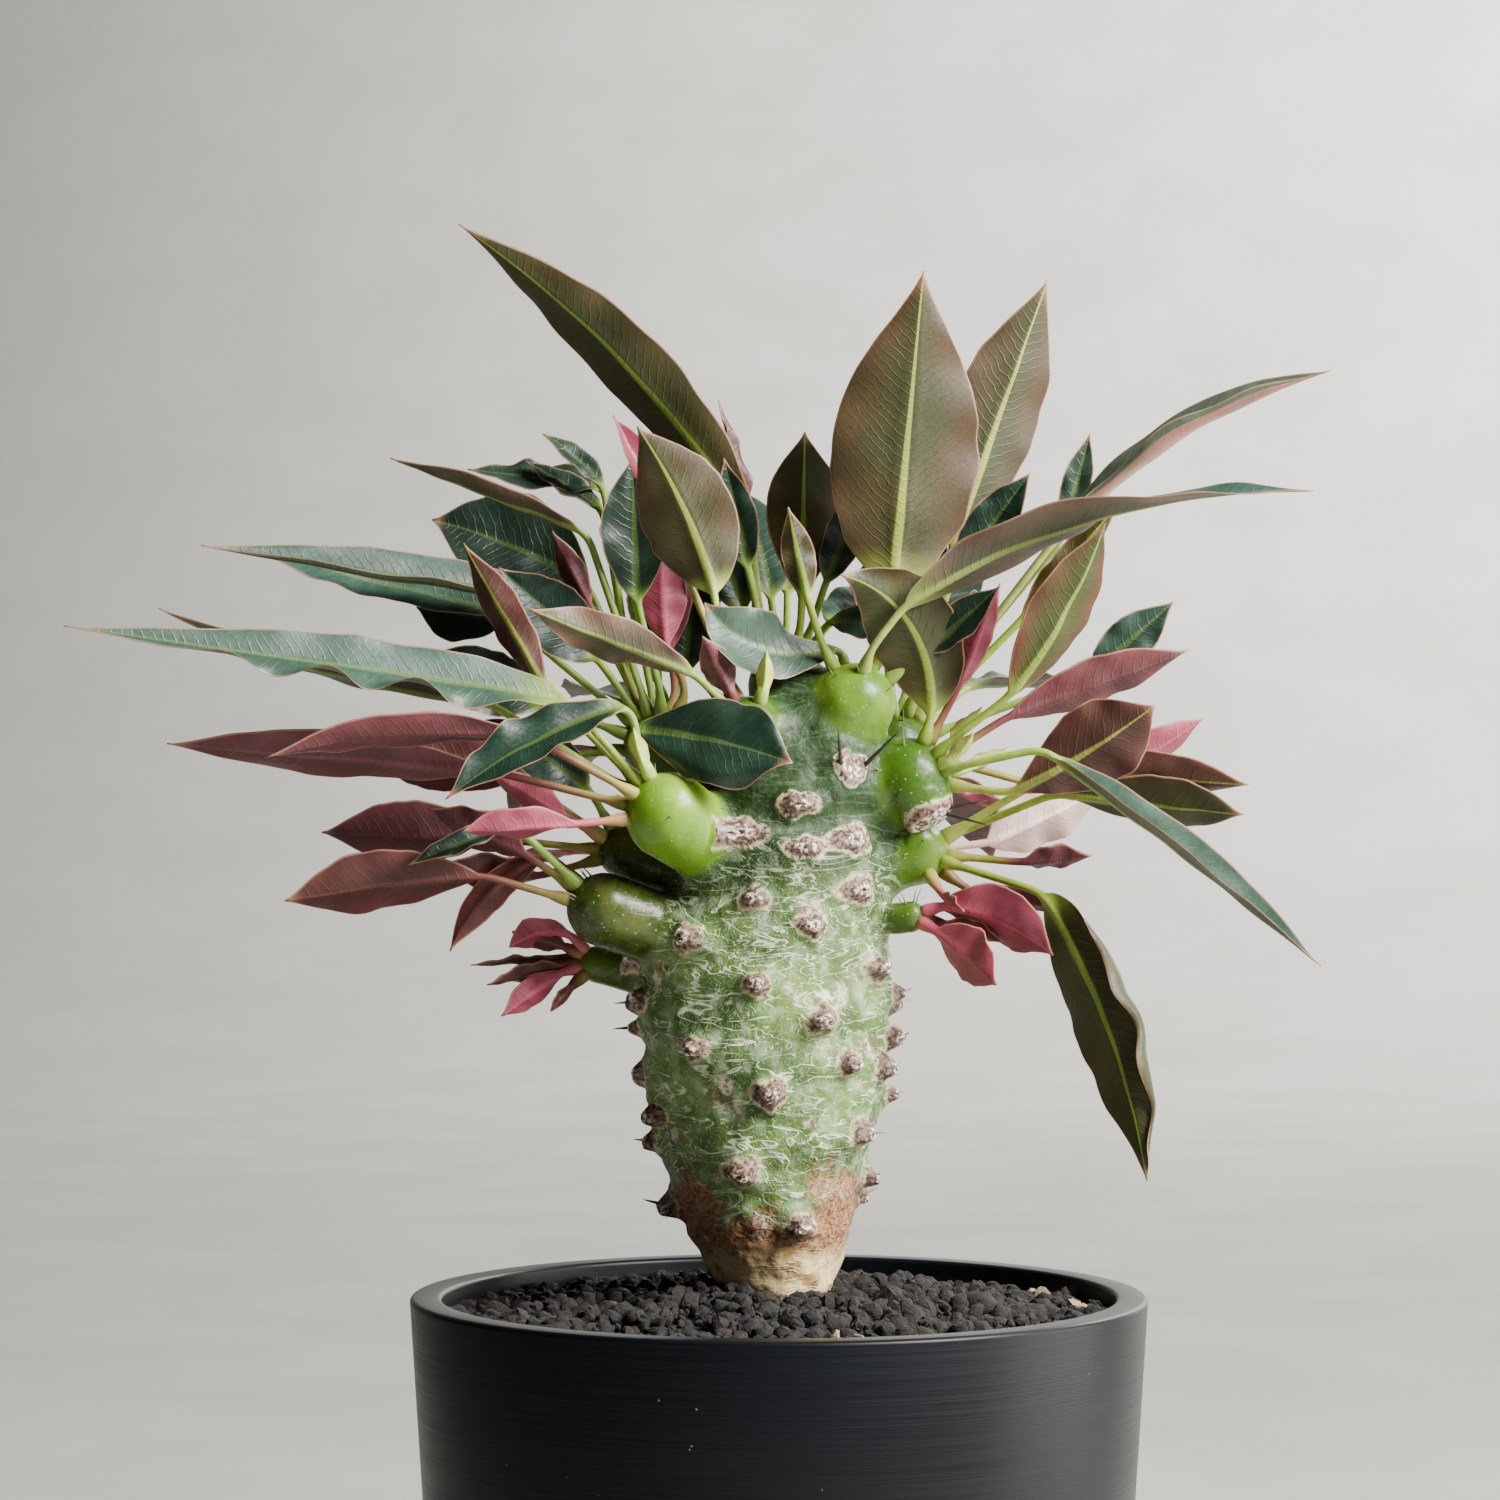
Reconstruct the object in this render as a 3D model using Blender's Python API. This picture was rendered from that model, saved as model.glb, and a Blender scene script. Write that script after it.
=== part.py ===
"""Potted euphorbia: a swollen, knobbly stem with a crown of leaves, in a small round pot.

Frame: +Z up, the origin is the centre of the pot's underside, and the front is -Y.
Design values are in millimetres and degrees, and become metres as each mesh is made.
A heading runs 0 right, 90 back, 180 left, 270 front. A rise is the angle above level.
"""
import math
from collections import namedtuple

import bmesh
import bpy
from mathutils import Vector
from mathutils.bvhtree import BVHTree

MM = 0.001
GAP = 0.3

# Pot
POT_HEIGHT = 100.0
RIM_RADIUS = 52.5
FOOT_RADIUS = 46.2
RIM_WIDTH = 4.5
RIM_DEPTH = 7.0
WALL = 2.2
FLOOR = 3.0
EDGE = 0.6
POT_SEGMENTS = 56
DRAIN_COUNT = 6
DRAIN_RADIUS = 3.2
DRAIN_RING = 28.0

# Soil: level at the wall, mounded up to the stem
SOIL_AT_WALL = 97.0
SOIL_AT_STEM = 101.0
MOUND_RADIUS = 40.0
MOUND_STEPS = 5

# Stem: height, sideways place of its centre, radius
STEM_PROFILE = (
    (94, 0, 4.5), (100, 0, 6.8), (104, -0.5, 9.4), (108, -1.2, 11.4), (113, -2, 12.8), (122, -2, 15.3),
    (133, -2, 17.2), (142, -2, 17.8), (151, -1, 16.8), (163, 1.5, 14.6), (171, 2.5, 13.6),
    (178, 3, 12), (184, 3.5, 9), (189, 3.5, 4.5),
)
STEM_SEGMENTS = 24
NECK_SHARE = 0.85     # a neck is this much as wide as its head
NECK_START = 0.5      # how far out in the stem a neck begins
HEAD_BOTTOM = -45.0   # the neck meets the head, and the head is closed, at these angles
HEAD_TOP = 80.0
HEAD_SEGMENTS = 12
HEAD_RINGS = 7

# Knobs on the stem: base and tip radius, and how far each stands out
KNOB_BASE = 1.9
KNOB_TIP = 1.0
KNOB_LENGTH = 2.4
KNOB_ROOT = 1.2
KNOB_SIDES = 6
GOLDEN_SHARE = 0.618
BACK_KNOBS = 26
BACK_KNOB_FIRST = 12.0
BACK_KNOB_SWEEP = 156.0
BACK_KNOB_LOW = 114.0
BACK_KNOB_STEP = 2.1
FRONT_KNOBS = (   # heading, height
    (222, 172), (271, 170), (240, 166), (278, 164), (305, 165), (338, 169), (303, 175),
    (200, 161), (256, 157), (312, 158), (288, 153), (335, 153), (227, 151), (190, 155),
    (327, 147), (265, 145), (184, 148), (197, 142), (355, 143), (296, 140), (180, 138),
    (350, 137), (238, 136), (311, 134), (339, 133), (184, 132), (272, 130), (357, 129),
    (202, 126), (325, 124), (183, 122), (258, 119), (358, 117), (186, 113), (291, 111),
)

# Leaves
STALK_HALF = 0.6
STALK_THICK = 1.1
RIB_THICK = 0.9
MARGIN_THICK = 0.4
TIP_HALF = 0.3
STALK_SIDE = 0.7      # a stalk is this much as thick at its sides as in its middle
FULLNESS = 0.8        # below 1, a blade keeps its width nearer to its ends
FLATTENED = 0.5       # the share of its full width at which a blade is fully flat
TURN = 6.0            # length over which a stalk turns into its blade
STALK_STATIONS = 3
BLADE_STATIONS = 8
SEAT_RISE = 62.0      # the steepest place on a head where a stalk starts
LEANS = [0.0] + [side * 1.5 * step for step in range(1, 15) for side in (1, -1)]
SEAT_TURNS = [0] + [side * step for step in range(20, 181, 20) for side in (1, -1)]
TURN_COST = 0.05      # a seat turned by one degree counts as this much lean

Head = namedtuple("Head", "centre radius root")
HEADS = {
    "left_front": Head((-15.5, -12, 168.5), 6.1, 160),
    "left_low": Head((-24.5, -7, 155), 5.4, 149),
    "left_stub": Head((-22, 2, 163), 3.8, 156),
    "left_back": Head((-17, 9, 178), 5.5, 168),
    "centre_back": Head((1, 6, 187), 5.5, 178),
    "centre_front": Head((-4, -9, 180), 5.0, 173),
    "right_centre": Head((10.5, -6, 184), 6.0, 176),
    "right_front": Head((18.5, -5, 173.5), 6.0, 168),
    "right_low": Head((19.5, -2, 163), 4.6, 159),
    "right_back": Head((17, 11, 178), 5.5, 168),
    "sprout_left": Head((-26, 1, 147), 2.6, 142),
    "sprout_right": Head((18.5, -7, 154), 2.2, 152),
}

# stalk: length and rise. blade: length and width. belly: where along it the blade is widest.
# arch: how much the blade's rise changes to its tip. faces: heading and rise of its upper side.
# A stalk rise above 90 leans back from the leaf's heading.
Leaf = namedtuple("Leaf", "name head stalk heading rise blade arch faces tone belly fold",
                  defaults=(0.45, 10))
LEAVES = (
    Leaf("top_great", "right_centre", (11, 82), 355, 84.5, (45, 21.5), 0, (92, 10), "pale", 0.42, 6),
    Leaf("top_left_tall", "centre_back", (17, 88), 190, 58, (61, 11.5), -25, (70, 25), "olive"),
    Leaf("top_pale_rib", "centre_front", (15, 85), 185, 75, (26, 14), -20, (90, 12), "pale"),
    Leaf("top_olive_spoon", "centre_back", (7, 85), 300, 88, (24, 11), 0, (90, 10), "olive", 0.55),
    Leaf("top_right_second", "right_back", (24, 79), 10, 70, (42, 14), 0, (100, 20), "pale", 0.5),
    Leaf("left_longest", "left_front", (15, 48), 193, 8, (70, 10), 0, (262, 45), "blue", 0.35, 16),
    Leaf("left_long_high", "left_back", (16, 67), 197, 8, (58, 8.5), 0, (262, 48), "green", 0.45, 16),
    Leaf("left_long_blue", "left_back", (24, 40), 184, 14, (37, 9), 0, (268, 45), "blue"),
    Leaf("left_broad_dark", "left_back", (20, 66), 172, 30, (25, 16), -15, (268, 20), "dark", 0.5),
    Leaf("left_edge_on", "left_back", (27, 71), 190, 20, (30, 6), 0, (60, 70), "grey", 0.5, 16),
    Leaf("left_wavy_high", "left_back", (33, 78), 170, 8, (21, 6.5), 0, (265, 50), "green"),
    Leaf("left_dark_blade", "left_back", (16, 75), 190, 88, (21, 10), 0, (268, 15), "dark", 0.5),
    Leaf("left_black_back", "left_back", (24, 38), 160, 8, (15, 10), 0, (268, 15), "dark", 0.5),
    Leaf("left_behind_longest", "left_front", (23, 32), 182, 6, (48, 6.5), 20, (95, 60), "grey"),
    Leaf("left_red_upper", "left_front", (16, 28), 190, 8, (37, 7), -24, (80, 45), "red", 0.5),
    Leaf("left_red_long", "left_front", (18, 14), 184, 5, (46, 8), 0, (90, 35), "red", 0.5),
    Leaf("left_red_dark", "left_stub", (14, 35), 182, 14, (26, 11), 0, (90, 15), "dark_red", 0.5),
    Leaf("left_red_oval", "left_stub", (16, 6), 188, 2, (23, 10), 0, (90, 20), "red"),
    Leaf("left_red_low", "left_low", (12, 16), 190, -3, (28, 10.5), -8, (90, 30), "dark_red", 0.55),
    Leaf("left_green_lance", "left_low", (12, 42), 200, -20, (16, 4), 0, (260, 40), "dark", 0.5, 16),
    Leaf("left_red_drop", "left_low", (5, 45), 175, -25, (20, 5), -40, (60, 30), "dark_red", 0.5),
    Leaf("left_pink_fold", "left_front", (6.5, -5), 200, -3, (17, 6.5), 0, (90, 40), "pink", 0.55, 20),
    Leaf("left_brown_inner", "left_front", (18, 45), 170, 60, (24, 6), 0, (80, 20), "brown", 0.5),
    Leaf("pink_pair_left", "left_back", (10, 62), 195, 88, (15, 7), 0, (90, 15), "pink", 0.5),
    Leaf("pink_pair_right", "left_back", (9, 80), 200, 97, (20, 5.5), 0, (90, 15), "pink"),
    Leaf("front_dark_left", "left_front", (9.5, 78), 210, -15, (31, 9.5), -20, (255, 40), "dark", 0.5),
    Leaf("front_broad", "left_front", (6, 122), 335, -5, (25.5, 14), -12, (262, 25), "dark", 0.58, 6),
    Leaf("front_grey_fold", "centre_front", (6, 45), 200, 20, (26, 7.5), 0, (95, 50), "grey", 0.5, 14),
    Leaf("front_blue_crest", "right_centre", (2, 125), 205, -24, (24, 10.5), 78, (275, 35), "blue", 0.6),
    Leaf("front_green_small", "centre_back", (5, 55), 320, -3, (17, 7), -10, (268, 30), "green", 0.5),
    Leaf("front_olive_arch", "right_front", (3.5, 98), 212, 96, (27, 13), -88, (95, 5), "olive"),
    Leaf("top_cream_spike", "centre_front", (30, 67), 175, 64, (14, 5.5), 0, (300, 30), "pink", 0.4, 25),
    Leaf("top_red_spike", "centre_back", (20, 82), 160, 75, (17, 4), 0, (330, 10), "red", 0.4, 20),
    Leaf("right_long_top", "right_back", (32, 51), 340, 45, (47, 9.5), -30, (230, 60), "rosy_green", 0.5, 20),
    Leaf("right_long_under", "right_centre", (10.5, 52), 352, 33, (60, 11), -35, (80, 40), "grey"),
    Leaf("right_small_upright", "right_back", (33, 50), 352, 75, (16, 4.5), 0, (268, 10), "green", 0.5),
    Leaf("right_dark_hook", "right_back", (20, 72), 350, 53, (19, 7), 0, (268, 15), "dark", 0.5),
    Leaf("right_dark_inner", "right_back", (16, 85), 320, 55, (15, 7), 0, (270, 0), "dark", 0.5),
    Leaf("right_olive_upright", "right_front", (13, 36), 340, 50, (28, 10.5), 20, (120, 15), "olive_red"),
    Leaf("right_pink_upper", "right_front", (10, 32), 8, 20, (28, 8), 0, (80, 35), "red", 0.5),
    Leaf("right_brown_broad", "right_front", (8, -8), 345, 25, (24, 12.5), 12, (75, 15), "brown", 0.6),
    Leaf("right_blade", "right_front", (14, 12), 345, -36, (49, 7), -3, (240, 72), "blue", 0.5, 38),
    Leaf("right_brown_long", "right_low", (18, 30), 352, -4, (27, 8), 0, (85, 35), "brown", 0.5),
    Leaf("right_olive_long", "right_low", (17, 22), 345, -6, (27, 9), 0, (85, 35), "olive", 0.6),
    Leaf("right_pale_pink", "right_low", (8, 5), 8, 25, (20, 12), 0, (85, 35), "pale_pink"),
    Leaf("right_droop", "right_low", (15.5, -15), 330, -55, (43, 15), -26, (62, 20), "olive", 0.45, 14),
    Leaf("right_pink_back", "right_back", (22, -15), 3, 33, (21, 7), 0, (80, 35), "pink", 0.5, 14),
    Leaf("sprout_left_curl", "sprout_left", (2, 50), 195, 20, (10, 5), -60, (85, 30), "pink", 0.6),
    Leaf("sprout_left_drop", "sprout_left", (2, -10), 200, -35, (11, 4.5), 0, (75, 30), "pink", 0.5),
    Leaf("sprout_right_high", "sprout_right", (2, 20), 340, -5, (18, 10), -35, (75, 30), "pink", 0.5),
    Leaf("sprout_right_low", "sprout_right", (2, -20), 320, -35, (13, 9), 0, (75, 30), "pink", 0.5),
    Leaf("back_up", "centre_back", (12, 50), 88, 20, (34, 14), -15, (270, 65), "green"),
    Leaf("back_left", "left_back", (12, 50), 140, 15, (30, 13), -15, (320, 70), "green"),
    Leaf("back_left_low", "left_back", (10, 0), 125, -15, (28, 12), -15, (310, 70), "red"),
    Leaf("back_right_high", "right_back", (14, 60), 70, 25, (30, 13), -15, (250, 65), "green"),
    Leaf("back_right", "right_back", (12, 30), 45, 5, (30, 13), -15, (225, 70), "green"),
    Leaf("back_right_low", "right_back", (10, -15), 65, -25, (26, 12), -10, (240, 70), "red"),
)

# Colour, roughness and metallic value of each material
FINISHES = {
    "pot": ((0.012, 0.014, 0.017), 0.38, 0.0),
    "soil": ((0.022, 0.018, 0.014), 0.95, 0.0),
    "stem": ((0.24, 0.28, 0.14), 0.6, 0.0),
    "pale": ((0.19, 0.18, 0.11), 0.5, 0.0),
    "olive": ((0.07, 0.065, 0.025), 0.5, 0.0),
    "olive_red": ((0.14, 0.07, 0.035), 0.5, 0.0),
    "blue": ((0.13, 0.2, 0.17), 0.45, 0.0),
    "green": ((0.07, 0.11, 0.05), 0.45, 0.0),
    "dark": ((0.02, 0.035, 0.022), 0.45, 0.0),
    "grey": ((0.13, 0.11, 0.1), 0.5, 0.0),
    "rosy_green": ((0.28, 0.2, 0.16), 0.5, 0.0),
    "brown": ((0.085, 0.04, 0.027), 0.5, 0.0),
    "red": ((0.3, 0.09, 0.08), 0.5, 0.0),
    "dark_red": ((0.09, 0.025, 0.022), 0.5, 0.0),
    "pink": ((0.6, 0.27, 0.28), 0.5, 0.0),
    "pale_pink": ((0.68, 0.5, 0.47), 0.5, 0.0),
}


def clear_scene():
    for thing in list(bpy.data.objects):
        bpy.data.objects.remove(thing, do_unlink=True)


def finish_for(name):
    material = bpy.data.materials.get(name)
    if material:
        return material
    colour, roughness, metallic = FINISHES[name]
    material = bpy.data.materials.new(name)
    material.use_nodes = True
    shader = material.node_tree.nodes["Principled BSDF"]
    shader.inputs["Base Color"].default_value = (*colour, 1.0)
    shader.inputs["Roughness"].default_value = roughness
    shader.inputs["Metallic"].default_value = metallic
    return material


def add_object(name, points, faces, finish=None, crease=35):
    """An object from points in millimetres, its faces turned outwards."""
    mesh = bpy.data.meshes.new(name)
    mesh.from_pydata([Vector(point) * MM for point in points], [], faces)
    build = bmesh.new()
    build.from_mesh(mesh)
    bmesh.ops.recalc_face_normals(build, faces=build.faces)
    build.to_mesh(mesh)
    build.free()
    mesh.shade_smooth()
    mesh.set_sharp_from_angle(angle=math.radians(crease))
    thing = bpy.data.objects.new(name, mesh)
    bpy.context.collection.objects.link(thing)
    if finish:
        mesh.materials.append(finish_for(finish))
    return thing


def boolean(target, tool, operation):
    """Cut or join target with a helper object, which stays hidden."""
    tool.hide_render = True
    tool.display_type = "WIRE"
    modifier = target.modifiers.new(tool.name, "BOOLEAN")
    modifier.operation = operation
    modifier.solver = "EXACT"
    modifier.object = tool


def direction(heading, rise):
    turn, lift = math.radians(heading), math.radians(rise)
    return Vector((math.cos(lift) * math.cos(turn), math.cos(lift) * math.sin(turn), math.sin(lift)))


def smooth(share):
    share = min(1.0, max(0.0, share))
    return share * share * (3 - 2 * share)


def loft(rings):
    """Points and faces of a closed solid through rings of equal count, with flat ends."""
    count = len(rings[0])
    points = [point for ring in rings for point in ring]
    faces = [tuple(range(count)), tuple(range(len(points) - count, len(points)))]
    for low in range(0, len(points) - count, count):
        for index in range(count):
            after = (index + 1) % count
            faces.append((low + index, low + after, low + count + after, low + count + index))
    return points, faces


def circle(centre, radius, axis, count):
    side = axis.orthogonal().normalized()
    other = axis.normalized().cross(side)
    angles = [math.tau * index / count for index in range(count)]
    return [Vector(centre) + radius * (math.cos(a) * side + math.sin(a) * other) for a in angles]


def turned(profile, segments):
    """A solid turned about the Z axis from radius and height pairs, its ends closed flat."""
    upright = Vector((0, 0, 1))
    return loft([circle((0, 0, height), radius, upright, segments) for radius, height in profile])


def pot():
    slope = (RIM_RADIUS - FOOT_RADIUS) / POT_HEIGHT
    under_rim = POT_HEIGHT - RIM_DEPTH
    inner_rim = RIM_RADIUS - RIM_WIDTH
    profile = (
        (FOOT_RADIUS - EDGE, 0),
        (FOOT_RADIUS, EDGE),
        (RIM_RADIUS, POT_HEIGHT - EDGE),
        (RIM_RADIUS - EDGE, POT_HEIGHT),
        (inner_rim + EDGE, POT_HEIGHT),
        (inner_rim, POT_HEIGHT - EDGE),
        (inner_rim, under_rim),
        (FOOT_RADIUS + slope * FLOOR - WALL, FLOOR),
    )
    vessel = add_object("pot", *turned(profile, POT_SEGMENTS), "pot")
    for index in range(DRAIN_COUNT):
        place = DRAIN_RING * direction(360 * index / DRAIN_COUNT, 0)
        ends = [place + Vector((0, 0, height)) for height in (-FLOOR, 2 * FLOOR)]
        rings = [circle(end, DRAIN_RADIUS, Vector((0, 0, 1)), HEAD_SEGMENTS) for end in ends]
        boolean(vessel, add_object(f"drain_{index}", *loft(rings)), "DIFFERENCE")


def stem_at(height):
    """Sideways place and radius of the stem at a height."""
    for low, high in zip(STEM_PROFILE, STEM_PROFILE[1:]):
        if height <= high[0]:
            share = (height - low[0]) / (high[0] - low[0])
            return [a + share * (b - a) for a, b in zip(low[1:], high[1:])]
    return STEM_PROFILE[-1][1:]


def stem_form(swell=0.0):
    """The bare stem, thickened by swell all over."""
    upright = Vector((0, 0, 1))
    levels = [(height, aside, radius + swell) for height, aside, radius in STEM_PROFILE]
    lowest, highest = levels[0], levels[-1]
    levels[0] = (lowest[0] - swell, lowest[1], lowest[2])
    levels[-1] = (highest[0] + swell, highest[1], highest[2])
    return loft([circle((aside, 0, height), radius, upright, STEM_SEGMENTS)
                 for height, aside, radius in levels])


def soil():
    slope = (RIM_RADIUS - FOOT_RADIUS) / POT_HEIGHT
    inner_rim = RIM_RADIUS - RIM_WIDTH
    edge = inner_rim - GAP
    profile = [
        (FOOT_RADIUS + slope * FLOOR - WALL - 2 * GAP, FLOOR + GAP),
        (edge - GAP, POT_HEIGHT - RIM_DEPTH - GAP),
        (edge, SOIL_AT_WALL),
    ]
    for step in range(1, MOUND_STEPS + 1):
        share = step / MOUND_STEPS
        rise = (1 - math.cos(math.pi * share)) / 2
        height = SOIL_AT_WALL + rise * (SOIL_AT_STEM - SOIL_AT_WALL)
        profile.append((edge - share * MOUND_RADIUS, height))
    ground = add_object("soil", *turned(profile, POT_SEGMENTS), "soil")
    boolean(ground, add_object("stem_hollow", *stem_form(GAP)), "DIFFERENCE")


def head_form(head):
    """A round green head, on a neck that starts inside the stem."""
    centre = Vector(head.centre)
    aside, radius = stem_at(head.root)
    axis_point = Vector((aside, 0, head.root))
    outward = Vector((centre.x - aside, centre.y, 0)).normalized()
    start = axis_point + outward * radius * NECK_START
    axis = (centre - start).normalized()
    rings = [circle(start, head.radius * NECK_SHARE, axis, HEAD_SEGMENTS)]
    for step in range(1, HEAD_RINGS + 1):
        share = (step - 1) / (HEAD_RINGS - 1)
        angle = math.radians(HEAD_BOTTOM + share * (HEAD_TOP - HEAD_BOTTOM))
        place = centre + axis * head.radius * math.sin(angle)
        rings.append(circle(place, head.radius * math.cos(angle), axis, HEAD_SEGMENTS))
    return loft(rings)


def knob_places():
    """Heading and height of every knob: the front ones by place, the back ones evenly spread."""
    places = list(FRONT_KNOBS)
    for index in range(BACK_KNOBS):
        heading = BACK_KNOB_FIRST + BACK_KNOB_SWEEP * ((index * GOLDEN_SHARE) % 1)
        places.append((heading, BACK_KNOB_LOW + index * BACK_KNOB_STEP))
    return places


def knob_form(heading, height):
    aside, radius = stem_at(height)
    outward = direction(heading, 0)
    surface = Vector((aside, 0, height)) + radius * outward
    root = circle(surface - KNOB_ROOT * outward, KNOB_BASE, outward, KNOB_SIDES)
    tip = circle(surface + KNOB_LENGTH * outward, KNOB_TIP, outward, KNOB_SIDES)
    return loft([root, tip])


def near_a_head(heading, height):
    aside, radius = stem_at(height)
    place = Vector((aside, 0, height)) + radius * direction(heading, 0)
    return any((Vector(head.centre) - place).length < head.radius + 2 * KNOB_LENGTH
               for head in HEADS.values())


def stem():
    """The stem with its heads and knobs, grown together, and the forms it is joined from."""
    forms = [stem_form()]
    body = add_object("stem", *forms[0], "stem")
    for name, head in HEADS.items():
        forms.append(head_form(head))
        boolean(body, add_object(f"head_{name}", *forms[-1]), "UNION")
    for index, (heading, height) in enumerate(knob_places()):
        if not near_a_head(heading, height):
            forms.append(knob_form(heading, height))
            boolean(body, add_object(f"knob_{index}", *forms[-1]), "UNION")
    return forms


def leaf_line(leaf, lean, seat_turn):
    """Stations along a leaf: place, direction, and how far along the stalk or blade each is."""
    stalk_length, stalk_rise = leaf.stalk
    blade_length = leaf.blade[0]
    total = stalk_length + blade_length
    head = HEADS[leaf.head]
    seat_rise = min(stalk_rise, SEAT_RISE) if stalk_rise <= 90 else max(stalk_rise, 180 - SEAT_RISE)
    outward = direction(leaf.heading + seat_turn, seat_rise)
    place = Vector(head.centre) + (head.radius + 2 * GAP) * outward
    wanted = [stalk_length * index / STALK_STATIONS for index in range(STALK_STATIONS)]
    wanted += [stalk_length + blade_length * index / BLADE_STATIONS
               for index in range(BLADE_STATIONS + 1)]
    stations, aim, travelled = [], outward, 0.0
    for target in wanted:
        steps = max(1, math.ceil(target - travelled))
        stride = (target - travelled) / steps
        for _ in range(steps):
            along = travelled + stride / 2
            blend = smooth((along - stalk_length + TURN / 2) / TURN)
            bent = leaf.rise + leaf.arch * max(0.0, along - stalk_length) / blade_length
            aim = direction(leaf.heading, stalk_rise + blend * (bent - stalk_rise))
            aim = outward.lerp(aim, smooth(along / min(TURN, stalk_length))).normalized()
            place = place + stride * aim
            travelled += stride
        leaned = place + Vector((0, lean * travelled / total, 0))
        stations.append((leaned, aim, (travelled - stalk_length) / blade_length))
    return stations


def leaf_form(leaf, lean, seat_turn, swell=0.0):
    """A stalk that flattens into a folded blade, as points and faces."""
    upper = direction(*leaf.faces)
    power = math.log(0.5) / math.log(leaf.belly)
    rings = []
    for place, aim, along in leaf_line(leaf, lean, seat_turn):
        normal = (upper - upper.dot(aim) * aim).normalized()
        side = aim.cross(normal)
        share = min(1.0, max(0.0, along))
        spread = math.sin(math.pi * share ** power) ** FULLNESS if 0 < share < 1 else 0.0
        narrow = STALK_HALF + (TIP_HALF - STALK_HALF) * share
        half = max(narrow, leaf.blade[1] / 2 * spread) + swell
        flat = min(1.0, spread / FLATTENED)
        rib = STALK_THICK + flat * (RIB_THICK - STALK_THICK)
        stalk_side = STALK_THICK * STALK_SIDE
        margin = stalk_side + flat * (MARGIN_THICK - stalk_side)
        if share == 1.0:
            rib = margin = MARGIN_THICK
        lift = (half - narrow) * math.tan(math.radians(leaf.fold)) if half > narrow else 0.0
        outline = ((-half, lift + margin / 2 + swell), (0, rib / 2 + swell),
                   (half, lift + margin / 2 + swell), (half, lift - margin / 2 - swell),
                   (0, -rib / 2 - swell), (-half, lift - margin / 2 - swell))
        rings.append([place + across * side + up * normal for across, up in outline])
    return loft(rings)


def tree_of(forms):
    """One search tree over several forms."""
    points, faces = [], []
    for form_points, form_faces in forms:
        first = len(points)
        points += form_points
        faces += [tuple(first + index for index in face) for face in form_faces]
    return BVHTree.FromPolygons(points, faces)


def leaves(forms):
    """Each leaf, turned on its head and leaned in depth until it hangs clear of the others."""
    choices = [(lean, turn) for lean in LEANS for turn in SEAT_TURNS]
    choices.sort(key=lambda choice: abs(choice[0]) + TURN_COST * abs(choice[1]))
    for leaf in LEAVES:
        taken = tree_of(forms)
        clear = next((choice for choice in choices
                      if not tree_of([leaf_form(leaf, *choice, swell=GAP)]).overlap(taken)), None)
        if clear is None:
            raise ValueError("no clear place for " + leaf.name)
        form = leaf_form(leaf, *clear)
        add_object("leaf_" + leaf.name, *form, leaf.tone)
        forms.append(form)


clear_scene()
pot()
soil()
leaves(stem())
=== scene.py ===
import math
import random
from collections import namedtuple

import bmesh
import bpy
import numpy as np
from mathutils import Matrix, Vector, noise


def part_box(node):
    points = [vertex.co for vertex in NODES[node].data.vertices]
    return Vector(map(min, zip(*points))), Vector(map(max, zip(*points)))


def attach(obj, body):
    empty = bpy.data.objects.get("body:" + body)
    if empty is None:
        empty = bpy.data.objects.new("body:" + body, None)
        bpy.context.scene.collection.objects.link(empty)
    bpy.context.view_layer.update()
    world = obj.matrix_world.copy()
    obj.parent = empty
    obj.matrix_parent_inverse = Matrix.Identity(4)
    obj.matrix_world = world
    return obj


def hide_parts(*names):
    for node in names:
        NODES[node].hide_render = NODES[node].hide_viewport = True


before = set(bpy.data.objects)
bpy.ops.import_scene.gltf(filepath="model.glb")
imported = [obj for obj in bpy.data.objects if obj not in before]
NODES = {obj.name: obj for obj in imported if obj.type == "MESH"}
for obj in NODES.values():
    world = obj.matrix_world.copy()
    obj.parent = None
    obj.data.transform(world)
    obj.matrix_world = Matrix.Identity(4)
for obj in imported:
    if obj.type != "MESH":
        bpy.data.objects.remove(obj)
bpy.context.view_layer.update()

MM = 0.001
UP = Vector((0, 0, 1))

# ---------------------------------------------------------------- the plant's design

# root: the height on the stem where a head's neck starts. shade: 0 deep green, 1 apple green.
# olive: how brown and old its skin is.
Head = namedtuple("Head", "centre radius root shade olive", defaults=(0.2, 0.0))
HEADS = {
    "left_front": Head((-15.5, -12, 168.5), 6.1, 160, 1.0),
    "left_low": Head((-24.5, -7, 155), 5.4, 149, 0.1, 0.7),
    "left_stub": Head((-22, 2, 163), 3.8, 156, 0.3, 0.9),
    "left_back": Head((-17, 9, 178), 5.5, 168),
    "centre_back": Head((1, 6, 187), 5.5, 178, 0.4),
    "centre_front": Head((-4, -9, 180), 5.0, 173),
    "right_centre": Head((10.5, -6, 184), 6.0, 176, 0.42),
    "right_front": Head((18.5, -5, 173.5), 6.0, 168, 0.15),
    "right_low": Head((19.5, -2, 163), 4.6, 159, 0.35),
    "right_back": Head((17, 11, 178), 5.5, 168),
    "sprout_left": Head((-26, 1, 147), 2.6, 142, 0.2, 0.5),
    "sprout_right": Head((18.5, -7, 154), 2.2, 152, 0.2, 0.3),
}
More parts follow.
